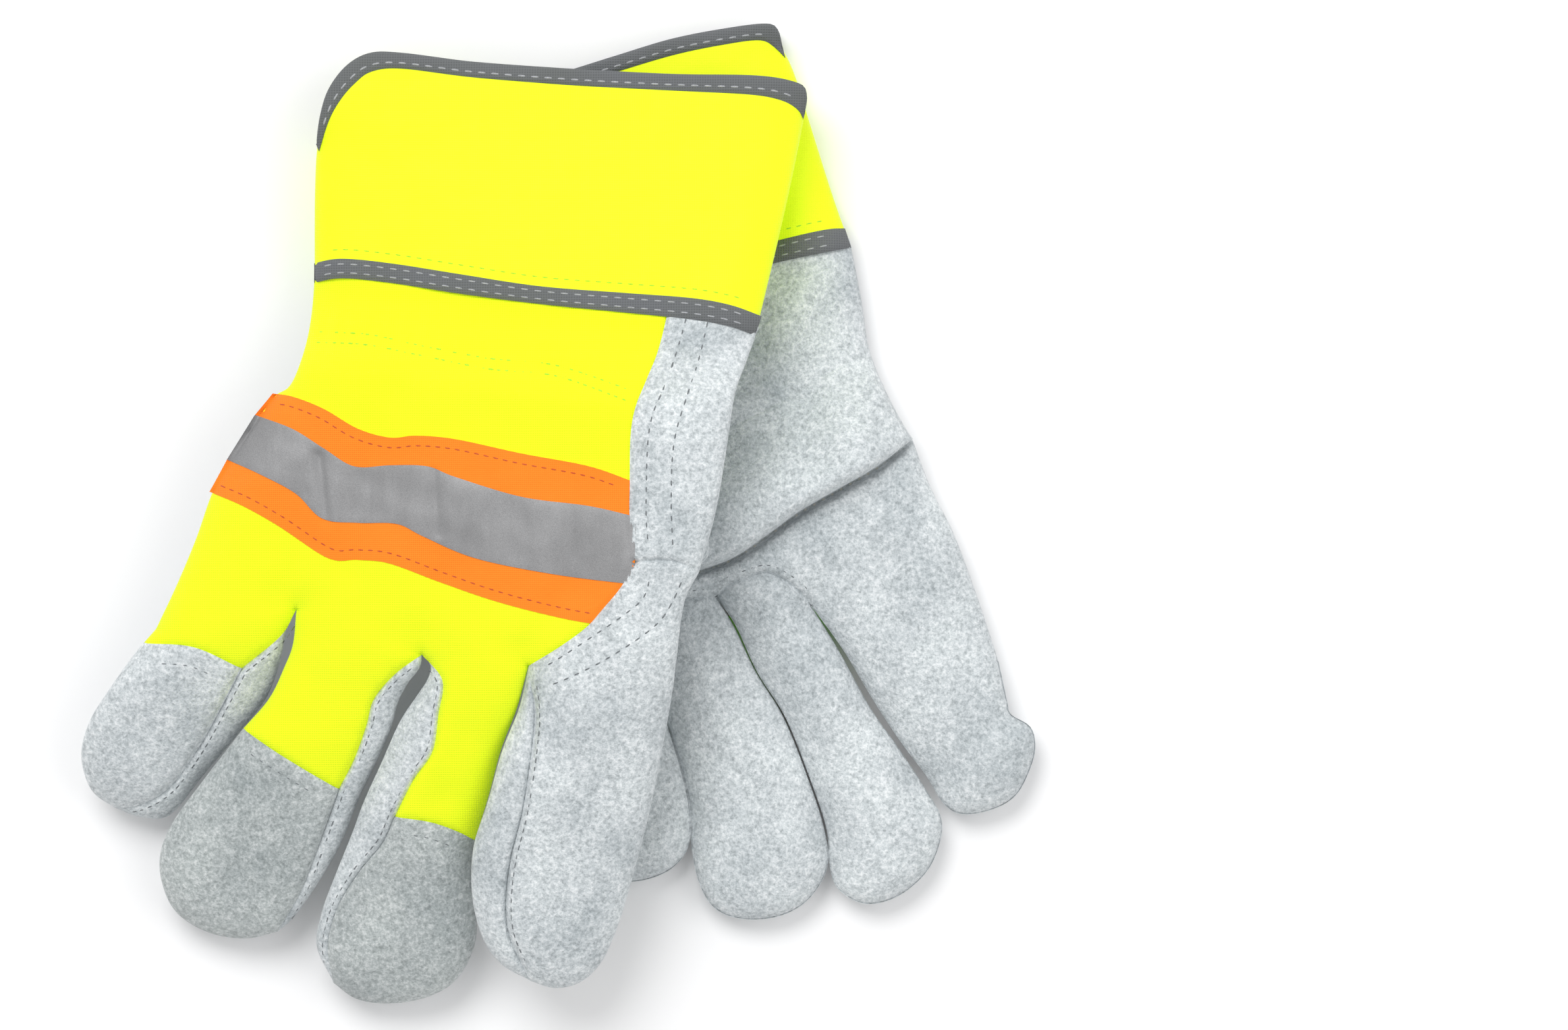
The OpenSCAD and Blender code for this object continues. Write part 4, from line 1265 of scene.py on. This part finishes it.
# The lens in millimetres, the studio's even light, and the lamps' powers in watts
LENS = 110.0
WORLD_LIGHT = 0.62
KEY_LIGHT = 12.5
FILL_LIGHT = 4.5
# The picture's width as a share of the pair's, and how far right of the pair it is centred, as a share of
# the picture's width
FRAME_WIDTH_SHARE = 1.583
FRAME_SHIFT_X = 0.135


def stage_and_light():
    """A pale floor, even light from all round, two soft lamps and a camera straight above."""
    low, high = (np.array(v) for v in (cad_low, cad_high))
    centre, size = (low + high) / 2, high - low
    floor_mesh = bpy.data.meshes.new("floor")
    corners = ((-1, -1), (1, -1), (1, 1), (-1, 1))
    floor_mesh.from_pydata([(x * FLOOR_REACH, y * FLOOR_REACH, FLOOR_LEVEL) for x, y in corners], [],
                           [(0, 1, 2, 3)])
    floor = bpy.data.objects.new("floor", floor_mesh)
    bpy.context.collection.objects.link(floor)
    n = Nodes("floor_paper")
    tone = n.noise(0.02, 1.0, 0.5, 0.0)
    n.finish(n.ramp(tone, [(0.3, (0.93, 0.93, 0.935)), (0.7, (0.95, 0.95, 0.955))]), 0.85)
    floor.data.materials.append(n.material)

    world = bpy.data.worlds.new("studio")
    bpy.context.scene.world = world
    world.use_nodes = True
    world.node_tree.nodes["Background"].inputs["Color"].default_value = (1, 1, 1, 1)
    world.node_tree.nodes["Background"].inputs["Strength"].default_value = WORLD_LIGHT

    def soft_box(name, place, span, power):
        data = bpy.data.lights.new(name, "AREA")
        data.shape = "DISK"
        data.size = span
        data.energy = power
        lamp = bpy.data.objects.new(name, data)
        bpy.context.collection.objects.link(lamp)
        lamp.location = place
        aim = Vector(centre) - Vector(place)
        lamp.rotation_euler = aim.to_track_quat("-Z", "Y").to_euler()

    soft_box("key", (-0.35, 0.75, 1.25), 0.9, KEY_LIGHT)
    soft_box("fill", (0.9, 0.1, 1.2), 1.1, FILL_LIGHT)

    data = bpy.data.cameras.new("camera")
    camera = bpy.data.objects.new("camera", data)
    bpy.context.collection.objects.link(camera)
    data.sensor_fit = "HORIZONTAL"
    data.sensor_width = 36.0
    data.lens = LENS
    width = size[0] * FRAME_WIDTH_SHARE
    away = width * data.lens / data.sensor_width
    look = Vector((centre[0] + FRAME_SHIFT_X * width, centre[1], high[2] * 0.4))
    camera.location = look + Vector((0, 0, away))
    camera.rotation_euler = (0, 0, 0)
    data.clip_end = 20.0
    bpy.context.scene.camera = camera
    bpy.context.scene.view_settings.view_transform = "Standard"


stage_and_light()
